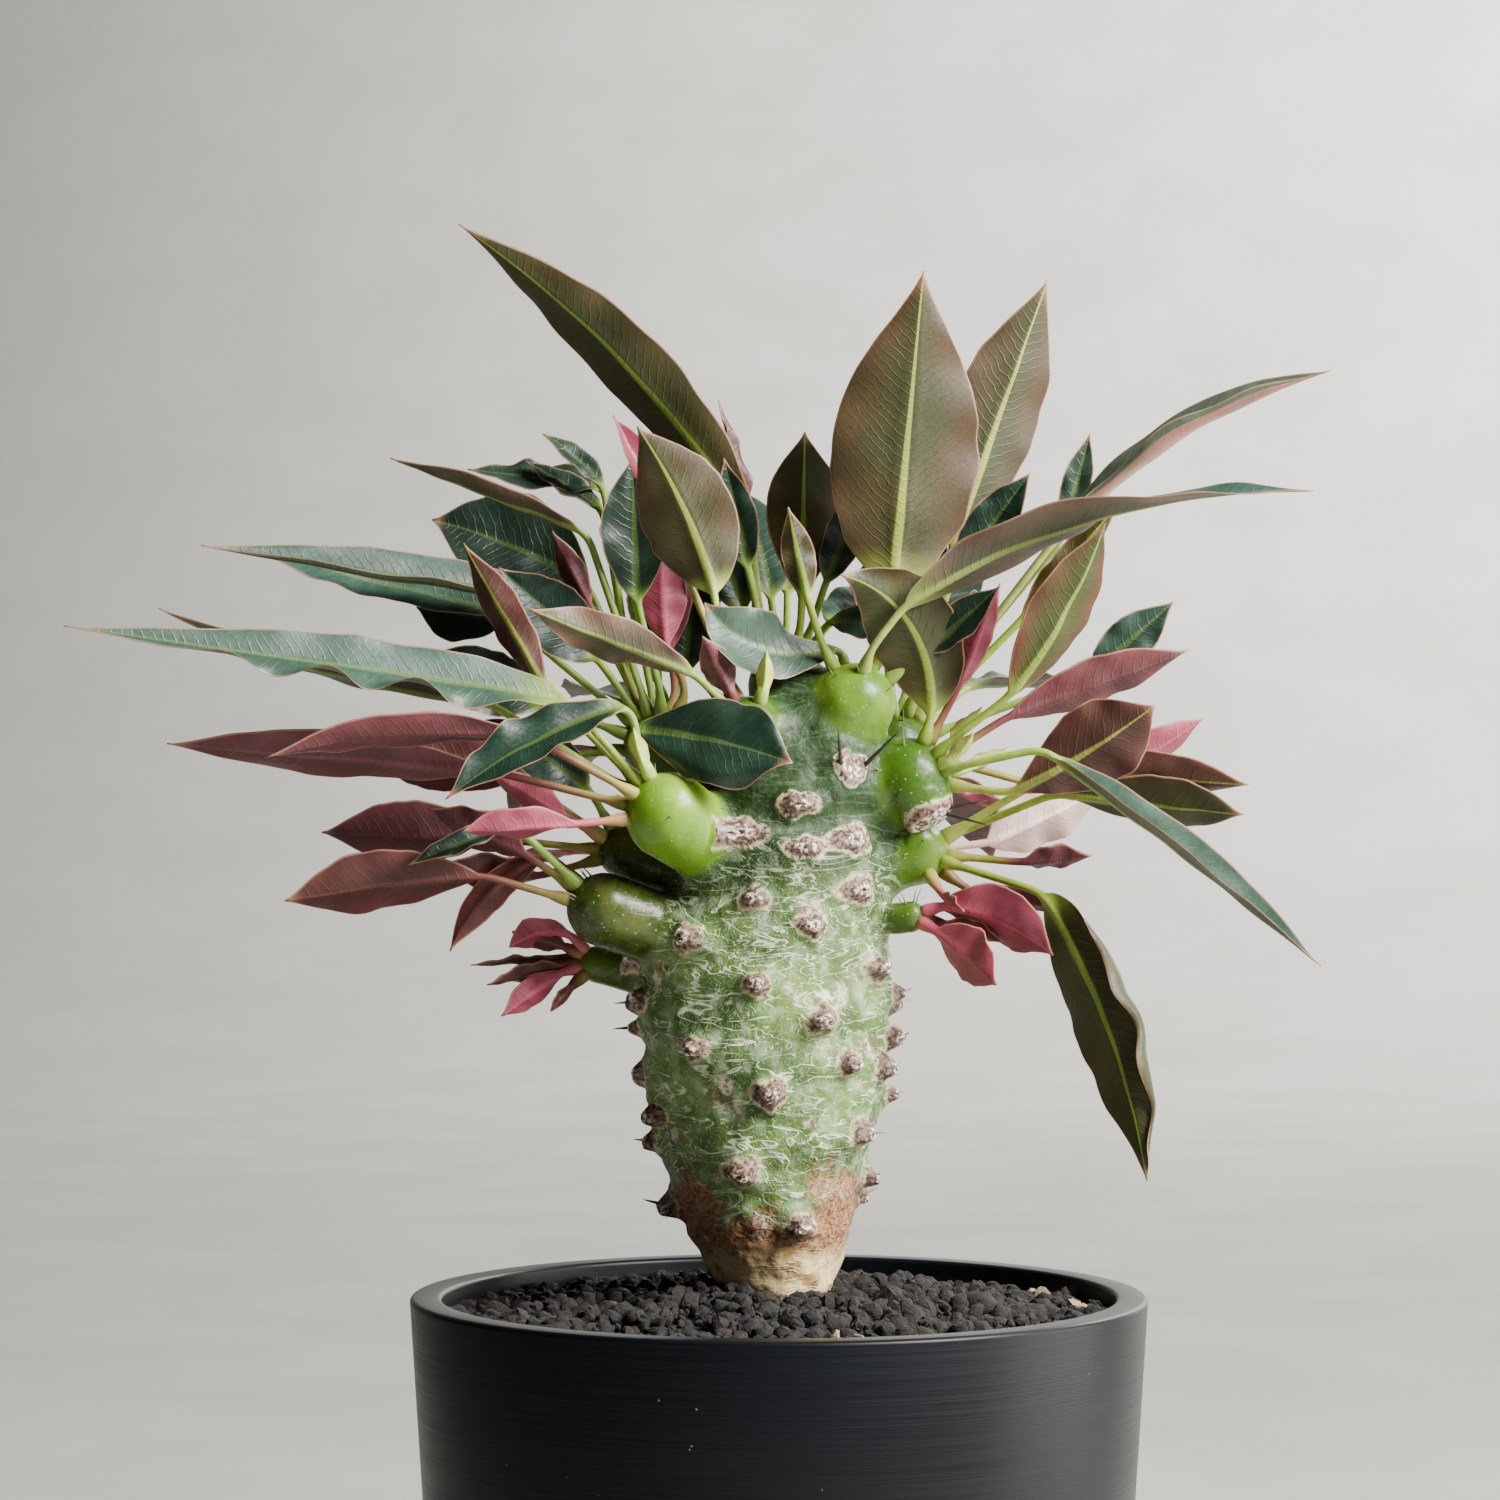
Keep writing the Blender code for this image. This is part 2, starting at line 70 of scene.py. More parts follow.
STEM_PROFILE = (   # height, sideways centre, radius
    (94, 0, 4.5), (100, 0, 6.8), (104, -0.5, 9.4), (108, -1.2, 11.4), (113, -2, 12.8), (122, -2, 15.3),
    (133, -2, 17.2), (142, -2, 17.8), (151, -1, 16.8), (163, 1.5, 14.6), (171, 2.5, 13.6),
    (178, 3, 12), (184, 3.5, 9), (189, 3.5, 4.5),
)

# stalk: length and rise. blade: length and width. arch: change of rise to the tip.
# faces: heading and rise of the upper side. belly: where along it the blade is widest.
# wave: how far its margins swing, and how many times. sway: the share of that on each margin.
# curl: how far each margin rolls towards the upper side. twist: how far the blade turns to its tip.
Leaf = namedtuple("Leaf", "name head stalk heading rise blade arch faces tone "
                  "belly fold wave sway curl twist", defaults=(0.45, 10, (0.5, 3), (1, 1), (0, 0), 0))
LEAVES = (
    Leaf("top_great", "right_centre", (11, 82), 355, 84.5, (45, 21.5), 0, (92, 10), "pale", 0.42, 6,
         (0.5, 4)),
    Leaf("top_left_tall", "centre_back", (17, 88), 190, 58, (61, 11.5), -25, (70, 25), "olive",
         wave=(0.6, 5)),
    Leaf("top_pale_rib", "centre_front", (15, 85), 185, 75, (26, 14), -20, (90, 12), "pale", wave=(0.6, 3)),
    Leaf("top_olive_spoon", "centre_back", (7, 85), 300, 88, (24, 11), 0, (90, 10), "olive", 0.55,
         wave=(0.7, 3)),
    Leaf("top_right_second", "right_back", (24, 79), 10, 70, (42, 14), 0, (100, 20), "pale", 0.5,
         wave=(0.5, 4)),
    Leaf("left_longest", "left_front", (15, 48), 193, 8, (70, 10), 0, (262, 45), "blue", 0.35, 16,
         (2.6, 5), (1, 0.12)),
    Leaf("left_long_high", "left_back", (16, 67), 197, 8, (58, 8.5), 0, (262, 48), "green", 0.45, 16,
         (0.4, 4), (1, 0.4), (75, 0)),
    Leaf("left_long_blue", "left_back", (24, 40), 184, 14, (37, 9), 0, (268, 45), "blue", wave=(0.8, 4)),
    Leaf("left_broad_dark", "left_back", (20, 66), 172, 30, (25, 16), -15, (268, 20), "dark", 0.5,
         wave=(0.9, 3)),
    Leaf("left_edge_on", "left_back", (27, 71), 190, 20, (30, 6), 0, (60, 70), "grey", 0.5, 16),
    Leaf("left_wavy_high", "left_back", (33, 78), 170, 8, (21, 6.5), 0, (265, 50), "green", wave=(0.9, 3)),
    Leaf("left_dark_blade", "left_back", (16, 75), 190, 88, (21, 10), 0, (268, 15), "dark", 0.5),
    Leaf("left_black_back", "left_back", (24, 38), 160, 8, (15, 10), 0, (268, 15), "dark", 0.5,
         wave=(0.9, 3)),
    Leaf("left_behind_longest", "left_front", (23, 32), 182, 6, (48, 6.5), 20, (95, 60), "grey"),
    Leaf("left_red_upper", "left_front", (16, 28), 190, 8, (37, 7), -24, (80, 45), "red", 0.5,
         wave=(0.4, 3)),
    Leaf("left_red_long", "left_front", (18, 14), 184, 5, (46, 8), 0, (90, 35), "red", 0.5, wave=(0.4, 3)),
    Leaf("left_red_dark", "left_stub", (14, 35), 182, 14, (26, 11), 0, (90, 15), "dark_red", 0.5),
    Leaf("left_red_oval", "left_stub", (16, 6), 188, 2, (23, 10), 0, (90, 20), "red", wave=(0.2, 3)),
    Leaf("left_red_low", "left_low", (12, 16), 190, -3, (28, 10.5), -8, (90, 30), "dark_red", 0.55),
    Leaf("left_green_lance", "left_low", (12, 42), 200, -20, (16, 4), 0, (260, 40), "dark", 0.5, 16),
    Leaf("left_red_drop", "left_low", (5, 45), 175, -25, (20, 5), -40, (60, 30), "dark_red", 0.5),
    Leaf("left_pink_fold", "left_front", (6.5, -5), 200, -3, (17, 6.5), 0, (90, 40), "pink", 0.55, 20,
         (0.8, 2)),
    Leaf("left_brown_inner", "left_front", (18, 45), 170, 60, (24, 6), 0, (80, 20), "brown", 0.5),
    Leaf("pink_pair_left", "left_back", (10, 62), 195, 88, (15, 7), 0, (90, 15), "pink", 0.5,
         wave=(0.2, 3)),
    Leaf("pink_pair_right", "left_back", (9, 80), 200, 97, (20, 5.5), 0, (90, 15), "pink", wave=(0.2, 3)),
    Leaf("front_dark_left", "left_front", (9.5, 78), 210, -15, (31, 9.5), -20, (255, 40), "dark", 0.5,
         wave=(0.9, 4)),
    Leaf("front_broad", "left_front", (6, 122), 335, -5, (25.5, 14), -12, (262, 25), "dark", 0.58, 6,
         (2.1, 2.3), curl=(-30, -60)),
    Leaf("front_grey_fold", "centre_front", (6, 45), 200, 20, (26, 7.5), 0, (95, 50), "grey", 0.5, 14,
         (0.8, 3), twist=40),
    Leaf("front_blue_crest", "right_centre", (2, 125), 205, -24, (24, 10.5), 78, (275, 35), "blue", 0.6,
         wave=(1.3, 2), twist=-20),
    Leaf("front_green_small", "centre_back", (5, 55), 320, -3, (17, 7), -10, (268, 30), "green", 0.5),
    Leaf("front_olive_arch", "right_front", (3.5, 98), 212, 96, (27, 13), -88, (95, 5), "olive", 0.45,
         wave=(1.7, 3.5), sway=(1, 0.3), curl=(-30, 0)),
    Leaf("top_cream_spike", "centre_front", (30, 67), 175, 64, (14, 5.5), 0, (300, 30), "pink", 0.4, 25),
    Leaf("top_red_spike", "centre_back", (20, 82), 160, 75, (17, 4), 0, (330, 10), "red", 0.4, 20),
    Leaf("right_long_top", "right_back", (32, 51), 340, 45, (47, 9.5), -30, (230, 60), "rosy_green", 0.5, 20,
         (0.9, 3), (0.2, 1), (0, 85)),
    Leaf("right_long_under", "right_centre", (10.5, 52), 352, 33, (60, 11), -35, (80, 40), "grey",
         wave=(0.8, 4), twist=75),
    Leaf("right_small_upright", "right_back", (33, 50), 352, 75, (16, 4.5), 0, (268, 10), "green", 0.5),
    Leaf("right_dark_hook", "right_back", (20, 72), 350, 53, (19, 7), 0, (268, 15), "dark", 0.5),
    Leaf("right_dark_inner", "right_back", (16, 85), 320, 55, (15, 7), 0, (270, 0), "dark", 0.5),
    Leaf("right_olive_upright", "right_front", (13, 36), 340, 50, (28, 10.5), 20, (120, 15), "olive_red",
         0.5, wave=(0.3, 3)),
    Leaf("right_pink_upper", "right_front", (10, 32), 8, 20, (28, 8), 0, (80, 35), "red", 0.5,
         wave=(0.3, 3)),
    Leaf("right_brown_broad", "right_front", (8, -8), 345, 25, (24, 12.5), 12, (75, 15), "brown", 0.6,
         wave=(0.8, 4)),
    Leaf("right_blade", "right_front", (14, 12), 345, -36, (49, 7), -3, (240, 72), "blue", 0.5, 38,
         (0.3, 3)),
    Leaf("right_brown_long", "right_low", (18, 30), 352, -4, (27, 8), 0, (85, 35), "brown", 0.5),
    Leaf("right_olive_long", "right_low", (17, 22), 345, -6, (27, 9), 0, (85, 35), "olive", 0.6),
    Leaf("right_pale_pink", "right_low", (8, 5), 8, 25, (20, 12), 0, (85, 35), "pale_pink"),
    Leaf("right_droop", "right_low", (15.5, -15), 330, -55, (43, 15), -26, (62, 20), "olive", 0.45, 14,
         (2.2, 3.4), (0.5, 1), (0, -150)),
    Leaf("right_pink_back", "right_back", (22, -15), 3, 33, (21, 7), 0, (80, 35), "pink", 0.5, 14),
    Leaf("sprout_left_curl", "sprout_left", (2, 50), 195, 20, (10, 5), -60, (85, 30), "pink", 0.6),
    Leaf("sprout_left_drop", "sprout_left", (2, -10), 200, -35, (11, 4.5), 0, (75, 30), "pink", 0.5),
    Leaf("sprout_right_high", "sprout_right", (2, 20), 340, -5, (18, 10), -35, (75, 30), "pink", 0.5),
    Leaf("sprout_right_low", "sprout_right", (2, -20), 320, -35, (13, 9), 0, (75, 30), "pink", 0.5),
    Leaf("back_up", "centre_back", (12, 50), 88, 20, (34, 14), -15, (270, 65), "green", wave=(0.8, 4)),
    Leaf("back_left", "left_back", (12, 50), 140, 15, (30, 13), -15, (320, 70), "green", wave=(0.8, 4)),
    Leaf("back_left_low", "left_back", (10, 0), 125, -15, (28, 12), -15, (310, 70), "red"),
    Leaf("back_right_high", "right_back", (14, 60), 70, 25, (30, 13), -15, (250, 65), "green",
         wave=(0.8, 4)),
    Leaf("back_right", "right_back", (12, 30), 45, 5, (30, 13), -15, (225, 70), "green", wave=(0.8, 4)),
    Leaf("back_right_low", "right_back", (10, -15), 65, -25, (26, 12), -10, (240, 70), "red"),
)

# Small leaves beyond the frame's nodes: they fill the crown and the sprouts.
SMALL_LEAVES = (
    Leaf("tip_upper", "left_back", (33, 82), 168, 50, (12, 4), -20, (270, 50), "green"),
    Leaf("tip_lower", "left_back", (30, 80), 160, 30, (14, 4.5), 0, (270, 50), "green"),
    Leaf("small_red_left", "left_back", (17, 62), 200, 62, (12, 4), 0, (90, 20), "red"),
    Leaf("inner_dark_a", "left_back", (10, 52), 205, 40, (20, 10), 0, (268, 15), "dark"),
    Leaf("inner_dark_b", "left_back", (12, 20), 186, 20, (20, 10), 0, (268, 15), "dark"),
    Leaf("inner_dark_c", "left_stub", (6, 60), 170, 35, (16, 8), 0, (268, 15), "dark"),
    Leaf("inner_dark_d", "left_back", (8, -5), 175, 5, (20, 9), 0, (268, 15), "dark"),
    Leaf("inner_dark_e", "centre_back", (6, 60), 175, 70, (24, 10), 0, (268, 15), "dark"),
    Leaf("inner_dark_f", "left_back", (6, 60), 60, 75, (22, 9), 0, (268, 15), "dark"),
    Leaf("inner_red_a", "left_stub", (9, -15), 196, 5, (15, 6), 0, (85, 30), "dark_red"),
    Leaf("inner_red_b", "left_low", (8, 35), 178, 25, (15, 6.5), 0, (85, 30), "red"),
    Leaf("inner_pink_c", "left_stub", (6, 30), 200, 30, (13, 5), 0, (85, 30), "pink"),
    Leaf("right_point", "right_low", (10, -5), 350, 6, (10, 4.5), 0, (88, 40), "red"),
    Leaf("right_under", "right_low", (5, -35), 352, -8, (13, 5), 0, (88, 35), "dark_red"),
    Leaf("right_curl", "right_low", (4, -40), 300, -20, (6, 3), 0, (88, 40), "pink"),
    Leaf("right_hidden", "right_back", (24, 20), 355, 42, (16, 7), 0, (268, 10), "green"),
    Leaf("right_sliver", "right_centre", (6, 35), 352, 42, (14, 6), 0, (268, 30), "dark"),
    Leaf("right_narrow_pink", "right_front", (8, 62), 355, 68, (16, 4), 0, (80, 20), "pink"),
    Leaf("right_stem_brown", "right_back", (20, 45), 350, 50, (22, 5), 0, (80, 20), "olive_red"),
    Leaf("centre_mauve", "centre_front", (1, 60), 210, 60, (9, 5), 0, (90, 10), "red"),
    Leaf("centre_blade_a", "centre_back", (12, 75), 215, 75, (16, 6), 0, (268, 15), "dark"),
    Leaf("centre_blade_b", "centre_back", (10, 70), 330, 65, (16, 6), 0, (268, 15), "dark"),
    Leaf("centre_blade_c", "right_centre", (10, 72), 190, 78, (13, 5), 0, (90, 15), "olive"),
    Leaf("sprout_a", "sprout_left", (2, 30), 190, 15, (8, 4), 0, (90, 20), "dark_red"),
    Leaf("sprout_b", "sprout_left", (2, 10), 178, -5, (13, 2.2), 0, (90, 60), "dark_red"),
    Leaf("sprout_c", "sprout_left", (2, 0), 192, -15, (11, 3.2), 0, (90, 40), "dark_red"),
    Leaf("sprout_d", "sprout_left", (2, -35), 215, -45, (5, 2), 0, (90, 20), "dark_red"),
    Leaf("sprout_e", "sprout_right", (2, -10), 345, -15, (9, 4), 0, (80, 40), "dark_red"),
    Leaf("bud_a", "right_front", (1, 40), 350, 40, (7, 3.2), 20, (120, 30), "lime", 0.4, 30),
    Leaf("bud_b", "right_front", (1, 20), 320, 30, (6, 3), 30, (100, 30), "lime", 0.4, 30),
    Leaf("bud_c", "right_front", (1, 10), 10, 10, (8, 3), 30, (90, 30), "lime", 0.4, 30),
    Leaf("bud_d", "left_front", (1, 60), 215, 60, (6, 3), 20, (90, 30), "lime", 0.4, 30),
    Leaf("bud_e", "centre_front", (1, 60), 300, 70, (6, 3), 20, (90, 30), "lime", 0.4, 30),
    Leaf("back_small_a", "centre_back", (8, 70), 110, 60, (22, 10), -20, (290, 30), "green"),
    Leaf("back_small_b", "centre_back", (10, 35), 60, 25, (24, 10), -20, (240, 60), "blue"),
    Leaf("back_small_c", "left_back", (10, 25), 112, 12, (24, 11), -20, (290, 70), "blue"),
    Leaf("back_small_d", "right_back", (10, 10), 88, 0, (24, 10), -25, (260, 70), "green"),
    Leaf("back_small_e", "left_back", (8, 70), 95, 62, (20, 9), -20, (275, 30), "dark"),
    Leaf("back_small_f", "right_back", (8, 75), 100, 66, (20, 9), -20, (280, 30), "dark"),
    Leaf("back_small_g", "left_stub", (8, 0), 130, -8, (18, 8), -15, (310, 70), "pink"),
    Leaf("back_small_h", "right_back", (8, -30), 30, -15, (16, 7), -15, (210, 70), "pink"),
)

# Knobs on the stem, as heading and height. Two were cut back to a pale disc.
FRONT_KNOBS = (
    (222, 172), (271, 170), (240, 166), (278, 164), (305, 165), (338, 169), (303, 175),
    (200, 161), (256, 157), (312, 158), (288, 153), (335, 153), (227, 151), (190, 155),
    (327, 147), (265, 145), (184, 148), (197, 142), (355, 143), (296, 140), (180, 138),
    (350, 137), (238, 136), (311, 134), (339, 133), (184, 132), (272, 130), (357, 129),
    (202, 126), (325, 124), (183, 122), (258, 119), (358, 117), (186, 113), (291, 111),
)
CUT_KNOBS = ((338, 169), (303, 175))
BACK_KNOBS = 26
BACK_KNOB_FIRST = 12.0
BACK_KNOB_SWEEP = 156.0
BACK_KNOB_LOW = 114.0
BACK_KNOB_STEP = 2.1
GOLDEN_SHARE = 0.618

# ---------------------------------------------------------------- small tools


def direction(heading, rise):
    turn, lift = math.radians(heading), math.radians(rise)
    return Vector((math.cos(lift) * math.cos(turn), math.cos(lift) * math.sin(turn), math.sin(lift)))


def smooth(share):
    share = min(1.0, max(0.0, share))
    return share * share * (3 - 2 * share)


def new_piece(name, points, faces, material, replaced=None):
    """A smooth-shaded piece from points in millimetres. It rides on the one body."""
    mesh = bpy.data.meshes.new(name)
    mesh.from_pydata([Vector(point) * MM for point in points], [], faces)
    mesh.materials.append(material)
    mesh.shade_smooth()
    piece = bpy.data.objects.new(name, mesh)
    bpy.context.scene.collection.objects.link(piece)
    finish_piece(piece, replaced)
    return piece


def finish_piece(piece, replaced=None):
    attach(piece, "root")
    if replaced:
        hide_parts(replaced)


def store(mesh, name, values):
    layer = mesh.attributes.new(name, "FLOAT", "POINT")
    layer.data.foreach_set("value", np.asarray(values, dtype=np.float32))


def ring_faces(first, count, rings):
    """Four-sided faces between rings of count points each, from point number first on."""
    faces = []
    for low in range(first, first + count * (rings - 1), count):
        for index in range(count):
            after = (index + 1) % count
            faces.append((low + index, low + after, low + count + after, low + count + index))
    return faces


def turn_out(mesh):
    """All the faces of a closed mesh look outwards."""
    build = bmesh.new()
    build.from_mesh(mesh)
    bmesh.ops.recalc_face_normals(build, faces=build.faces)
    build.to_mesh(mesh)
    build.free()


def bake_modifiers(piece):
    """The piece keeps the mesh that its modifiers make."""
    graph = bpy.context.evaluated_depsgraph_get()
    made = bpy.data.meshes.new_from_object(piece.evaluated_get(graph))
    piece.modifiers.clear()
    piece.data = made


def node_points(node):
    """The different vertices of a CAD node, in millimetres."""
    rounded = {tuple(round(value / MM, 3) for value in vertex.co) for vertex in NODES[node].data.vertices}
    return [Vector(point) for point in sorted(rounded)]


class Nodes:
    """A material's node tree, with short calls for the nodes that repeat."""

    def __init__(self, name, roughness):
        self.material = bpy.data.materials.new(name)
        self.material.use_nodes = True
        self.tree = self.material.node_tree
        self.shader = self.tree.nodes["Principled BSDF"]
        self.set("Roughness", roughness)

    def add(self, kind, **settings):
        node = self.tree.nodes.new(kind)
        for key, value in settings.items():
            setattr(node, key, value)
        return node

    def link(self, source, target):
        self.tree.links.new(source, target)

    def feed(self, socket, value):
        if isinstance(value, bpy.types.NodeSocket):
            self.link(value, socket)
        elif isinstance(value, tuple) and len(value) == 3 and len(socket.default_value) == 4:
            socket.default_value = (*value, 1.0)
        else:
            socket.default_value = value

    def set(self, name, value):
        self.feed(self.shader.inputs[name], value)

    def attribute(self, name):
        return self.add("ShaderNodeAttribute", attribute_name=name).outputs["Fac"]

    def place(self, scale=(1.0, 1.0, 1.0)):
        """Object coordinates, in units of one millimetre times scale."""
        coordinates = self.add("ShaderNodeTexCoord").outputs["Object"]
        mapping = self.add("ShaderNodeMapping")
        mapping.inputs["Scale"].default_value = [value / MM for value in scale]
        self.link(coordinates, mapping.inputs["Vector"])
        return mapping.outputs["Vector"]

    def math(self, operation, first, second=0.0):
        node = self.add("ShaderNodeMath", operation=operation)
        self.feed(node.inputs[0], first)
        self.feed(node.inputs[1], second)
        return node.outputs[0]

    def times(self, first, second):
        return self.math("MULTIPLY", first, second)

    def plus(self, first, second):
        return self.math("ADD", first, second)

    def less(self, first, second):
        return self.math("SUBTRACT", first, second)

    def stray(self, value, field, amount):
        """value moved to either side by a noise field, by up to half of amount."""
        return self.plus(value, self.times(self.less(field, 0.5), amount))

    def contour(self, field, width):
        """1 along a noise field's middle level, and 0 beyond width on either side of it."""
        return self.span(self.math("ABSOLUTE", self.less(field, 0.5)), 0.0, width, 1.0, 0.0)

    def dots(self, vector, scale, low, high):
        """1 in scattered dots, fading from low to high away from their middles."""
        cells = self.add("ShaderNodeTexVoronoi")
        self.link(vector, cells.inputs["Vector"])
        cells.inputs["Scale"].default_value = scale
        return self.span(cells.outputs["Distance"], low, high, 1.0, 0.0)

    def grade(self, value, low, high, first, second):
        """From the first colour to the second while value goes from low to high."""
        return self.mix(self.span(value, low, high), first, second)

    def noise(self, vector, scale, detail=3.0, distortion=0.0, rough=0.5):
        node = self.add("ShaderNodeTexNoise")
        self.link(vector, node.inputs["Vector"])
        for key, value in (("Scale", scale), ("Detail", detail), ("Distortion", distortion),
                           ("Roughness", rough)):
            node.inputs[key].default_value = value
        return node.outputs["Fac"]

    def span(self, value, low, high, start=0.0, end=1.0):
        """value carried smoothly from low..high to start..end."""
        node = self.add("ShaderNodeMapRange", interpolation_type="SMOOTHSTEP")
        for key, number in (("Value", value), ("From Min", low), ("From Max", high),
                            ("To Min", start), ("To Max", end)):
            self.feed(node.inputs[key], number)
        return node.outputs["Result"]

    def mix(self, share, first, second):
        node = self.add("ShaderNodeMix", data_type="RGBA")
        self.feed(node.inputs["Factor"], share)
        self.feed(node.inputs[6], first)
        self.feed(node.inputs[7], second)
        return node.outputs[2]

    def bump(self, height, distance, strength=1.0):
        node = self.add("ShaderNodeBump")
        node.inputs["Distance"].default_value = distance * MM
        node.inputs["Strength"].default_value = strength
        self.link(height, node.inputs["Height"])
        self.link(node.outputs["Normal"], self.shader.inputs["Normal"])


# ---------------------------------------------------------------- materials

# upper side, underside by the rib, underside by the margins, stalk
LEAF_COLOURS = {
    "pale": ((0.05, 0.085, 0.03), (0.044, 0.042, 0.009), (0.07, 0.034, 0.014), (0.42, 0.52, 0.09)),
    "olive": ((0.03, 0.06, 0.018), (0.038, 0.04, 0.005), (0.055, 0.034, 0.009), (0.28, 0.38, 0.045)),
    "olive_red": ((0.07, 0.09, 0.02), (0.05, 0.062, 0.006), (0.12, 0.028, 0.015), (0.3, 0.4, 0.05)),
    "blue": ((0.036, 0.085, 0.058), (0.08, 0.09, 0.035), (0.09, 0.08, 0.035), (0.28, 0.4, 0.06)),
    "green": ((0.024, 0.058, 0.038), (0.045, 0.042, 0.02), (0.07, 0.045, 0.024), (0.26, 0.38, 0.06)),
    # dark: a deep green upper side, darkened further as painted shade for leaves that lie in shadow in the
    # crown
    "dark": ((0.008, 0.026, 0.015), (0.022, 0.026, 0.01), (0.036, 0.024, 0.01), (0.22, 0.34, 0.05)),
    "grey": ((0.035, 0.08, 0.058), (0.09, 0.075, 0.036), (0.15, 0.085, 0.055), (0.3, 0.4, 0.08)),
    "rosy_green": ((0.04, 0.095, 0.06), (0.5, 0.32, 0.24), (0.5, 0.17, 0.14), (0.38, 0.42, 0.12)),
    "brown": ((0.06, 0.03, 0.018), (0.06, 0.022, 0.013), (0.1, 0.028, 0.02), (0.32, 0.36, 0.06)),
    "red": ((0.1, 0.022, 0.025), (0.088, 0.022, 0.024), (0.135, 0.028, 0.034), (0.36, 0.34, 0.06)),
    "dark_red": ((0.06, 0.015, 0.013), (0.078, 0.021, 0.017), (0.11, 0.025, 0.022), (0.34, 0.3, 0.06)),
    "pink": ((0.26, 0.04, 0.065), (0.3, 0.055, 0.085), (0.36, 0.06, 0.1), (0.4, 0.34, 0.08)),
    "pale_pink": ((0.62, 0.36, 0.34), (0.76, 0.56, 0.5), (0.74, 0.42, 0.4), (0.5, 0.46, 0.22)),
    "lime": ((0.4, 0.56, 0.08), (0.45, 0.6, 0.1), (0.5, 0.5, 0.12), (0.4, 0.55, 0.1)),
}
MARGIN_COLOUR = (0.4, 0.2, 0.13)
MARGIN_LINE = 0.22      # width of the coloured line round a blade
VEIN_SPACING = 1.5      # between side veins
RED_TONES = ("red", "dark_red", "pink", "pale_pink")


def scaled(colour, share):
    return tuple(min(1.0, value * share) for value in colour)


def blade_skin(made, tone, across, blotch, mottle):
    """Both sides of a blade, before its veins."""
    upper, under, under_edge, _ = LEAF_COLOURS[tone]
    upper_colour = made.grade(mottle, 0.35, 0.7, scaled(upper, 0.82), scaled(upper, 1.22))
    under_colour = made.grade(made.plus(across, made.times(blotch, 0.5)), 0.35, 1.2, under, under_edge)
    under_colour = made.mix(made.span(mottle, 0.4, 0.7, 0.0, 0.3), under_colour, scaled(under, 0.55))
    colour = made.mix(made.attribute("under"), upper_colour, under_colour)
    colour = made.mix(made.span(blotch, 0.36, 0.62, 0.45, 0.0), colour, scaled(upper, 0.45))
    return made.mix(made.times(made.attribute("tint"), 0.25), colour, scaled(under, 0.6))


def side_veins(made, across, distance, mottle, on_blade):
    """1 on the side veins, which leave the rib at a slant and curve towards the tip."""
    slant = made.less(made.math("DIVIDE", made.attribute("travel"), VEIN_SPACING),
                      made.times(made.math("POWER", distance, 1.25), 0.34))
    ripple = made.math("PINGPONG", made.plus(slant, made.times(mottle, 1.2)), 0.5)
    fading = made.times(on_blade, made.span(across, 0.2, 0.95, 1.0, 0.3))
    return made.times(made.span(ripple, 0.0, 0.13, 1.0, 0.0), fading)


def with_rib(made, colour, tone, along, distance):
    """The midrib stays about as wide on every blade. It is pale below and faint above."""
    _, under, _, stalk = LEAF_COLOURS[tone]
    rib_half = made.span(along, 0.0, 0.95, 0.85, 0.16)
    rib = made.span(made.math("DIVIDE", distance, rib_half), 0.5, 1.05, 1.0, 0.0)
    strength = made.span(made.attribute("under"), 0.2, 0.8, 0.24, 0.88)
    rib_colour = tuple(0.62 * value + 0.5 * other for value, other in zip(stalk, under))
    if tone in RED_TONES:
        rib_colour = scaled(under, 1.35)
    return made.mix(made.times(rib, strength), colour, rib_colour)


def with_margin(made, colour, across, along, on_blade):
    """A thin ruddy line round the blade, and a dry tip."""
    line = made.math("DIVIDE", MARGIN_LINE, made.math("MAXIMUM", made.attribute("half"), 0.5))
    edge = made.times(made.math("GREATER_THAN", across, made.less(1.0, line)), on_blade)
    colour = made.mix(made.times(edge, 0.5), colour, MARGIN_COLOUR)
    return made.mix(made.span(along, 0.9, 1.0, 0.0, 0.75), colour, scaled(MARGIN_COLOUR, 0.7))


def with_stalk(made, colour, tone, along, mottle):
    """The stalk's own colour, which runs a little way into the blade."""
    _, _, under_edge, stalk = LEAF_COLOURS[tone]
    stalk_colour = made.grade(mottle, 0.35, 0.65, scaled(stalk, 0.75), stalk)
    if tone in RED_TONES:
        stalk_colour = made.grade(along, -0.6, 0.0, stalk_colour, scaled(under_edge, 1.1))
    return made.mix(made.span(along, -0.04, 0.14, 1.0, 0.0), colour, stalk_colour)


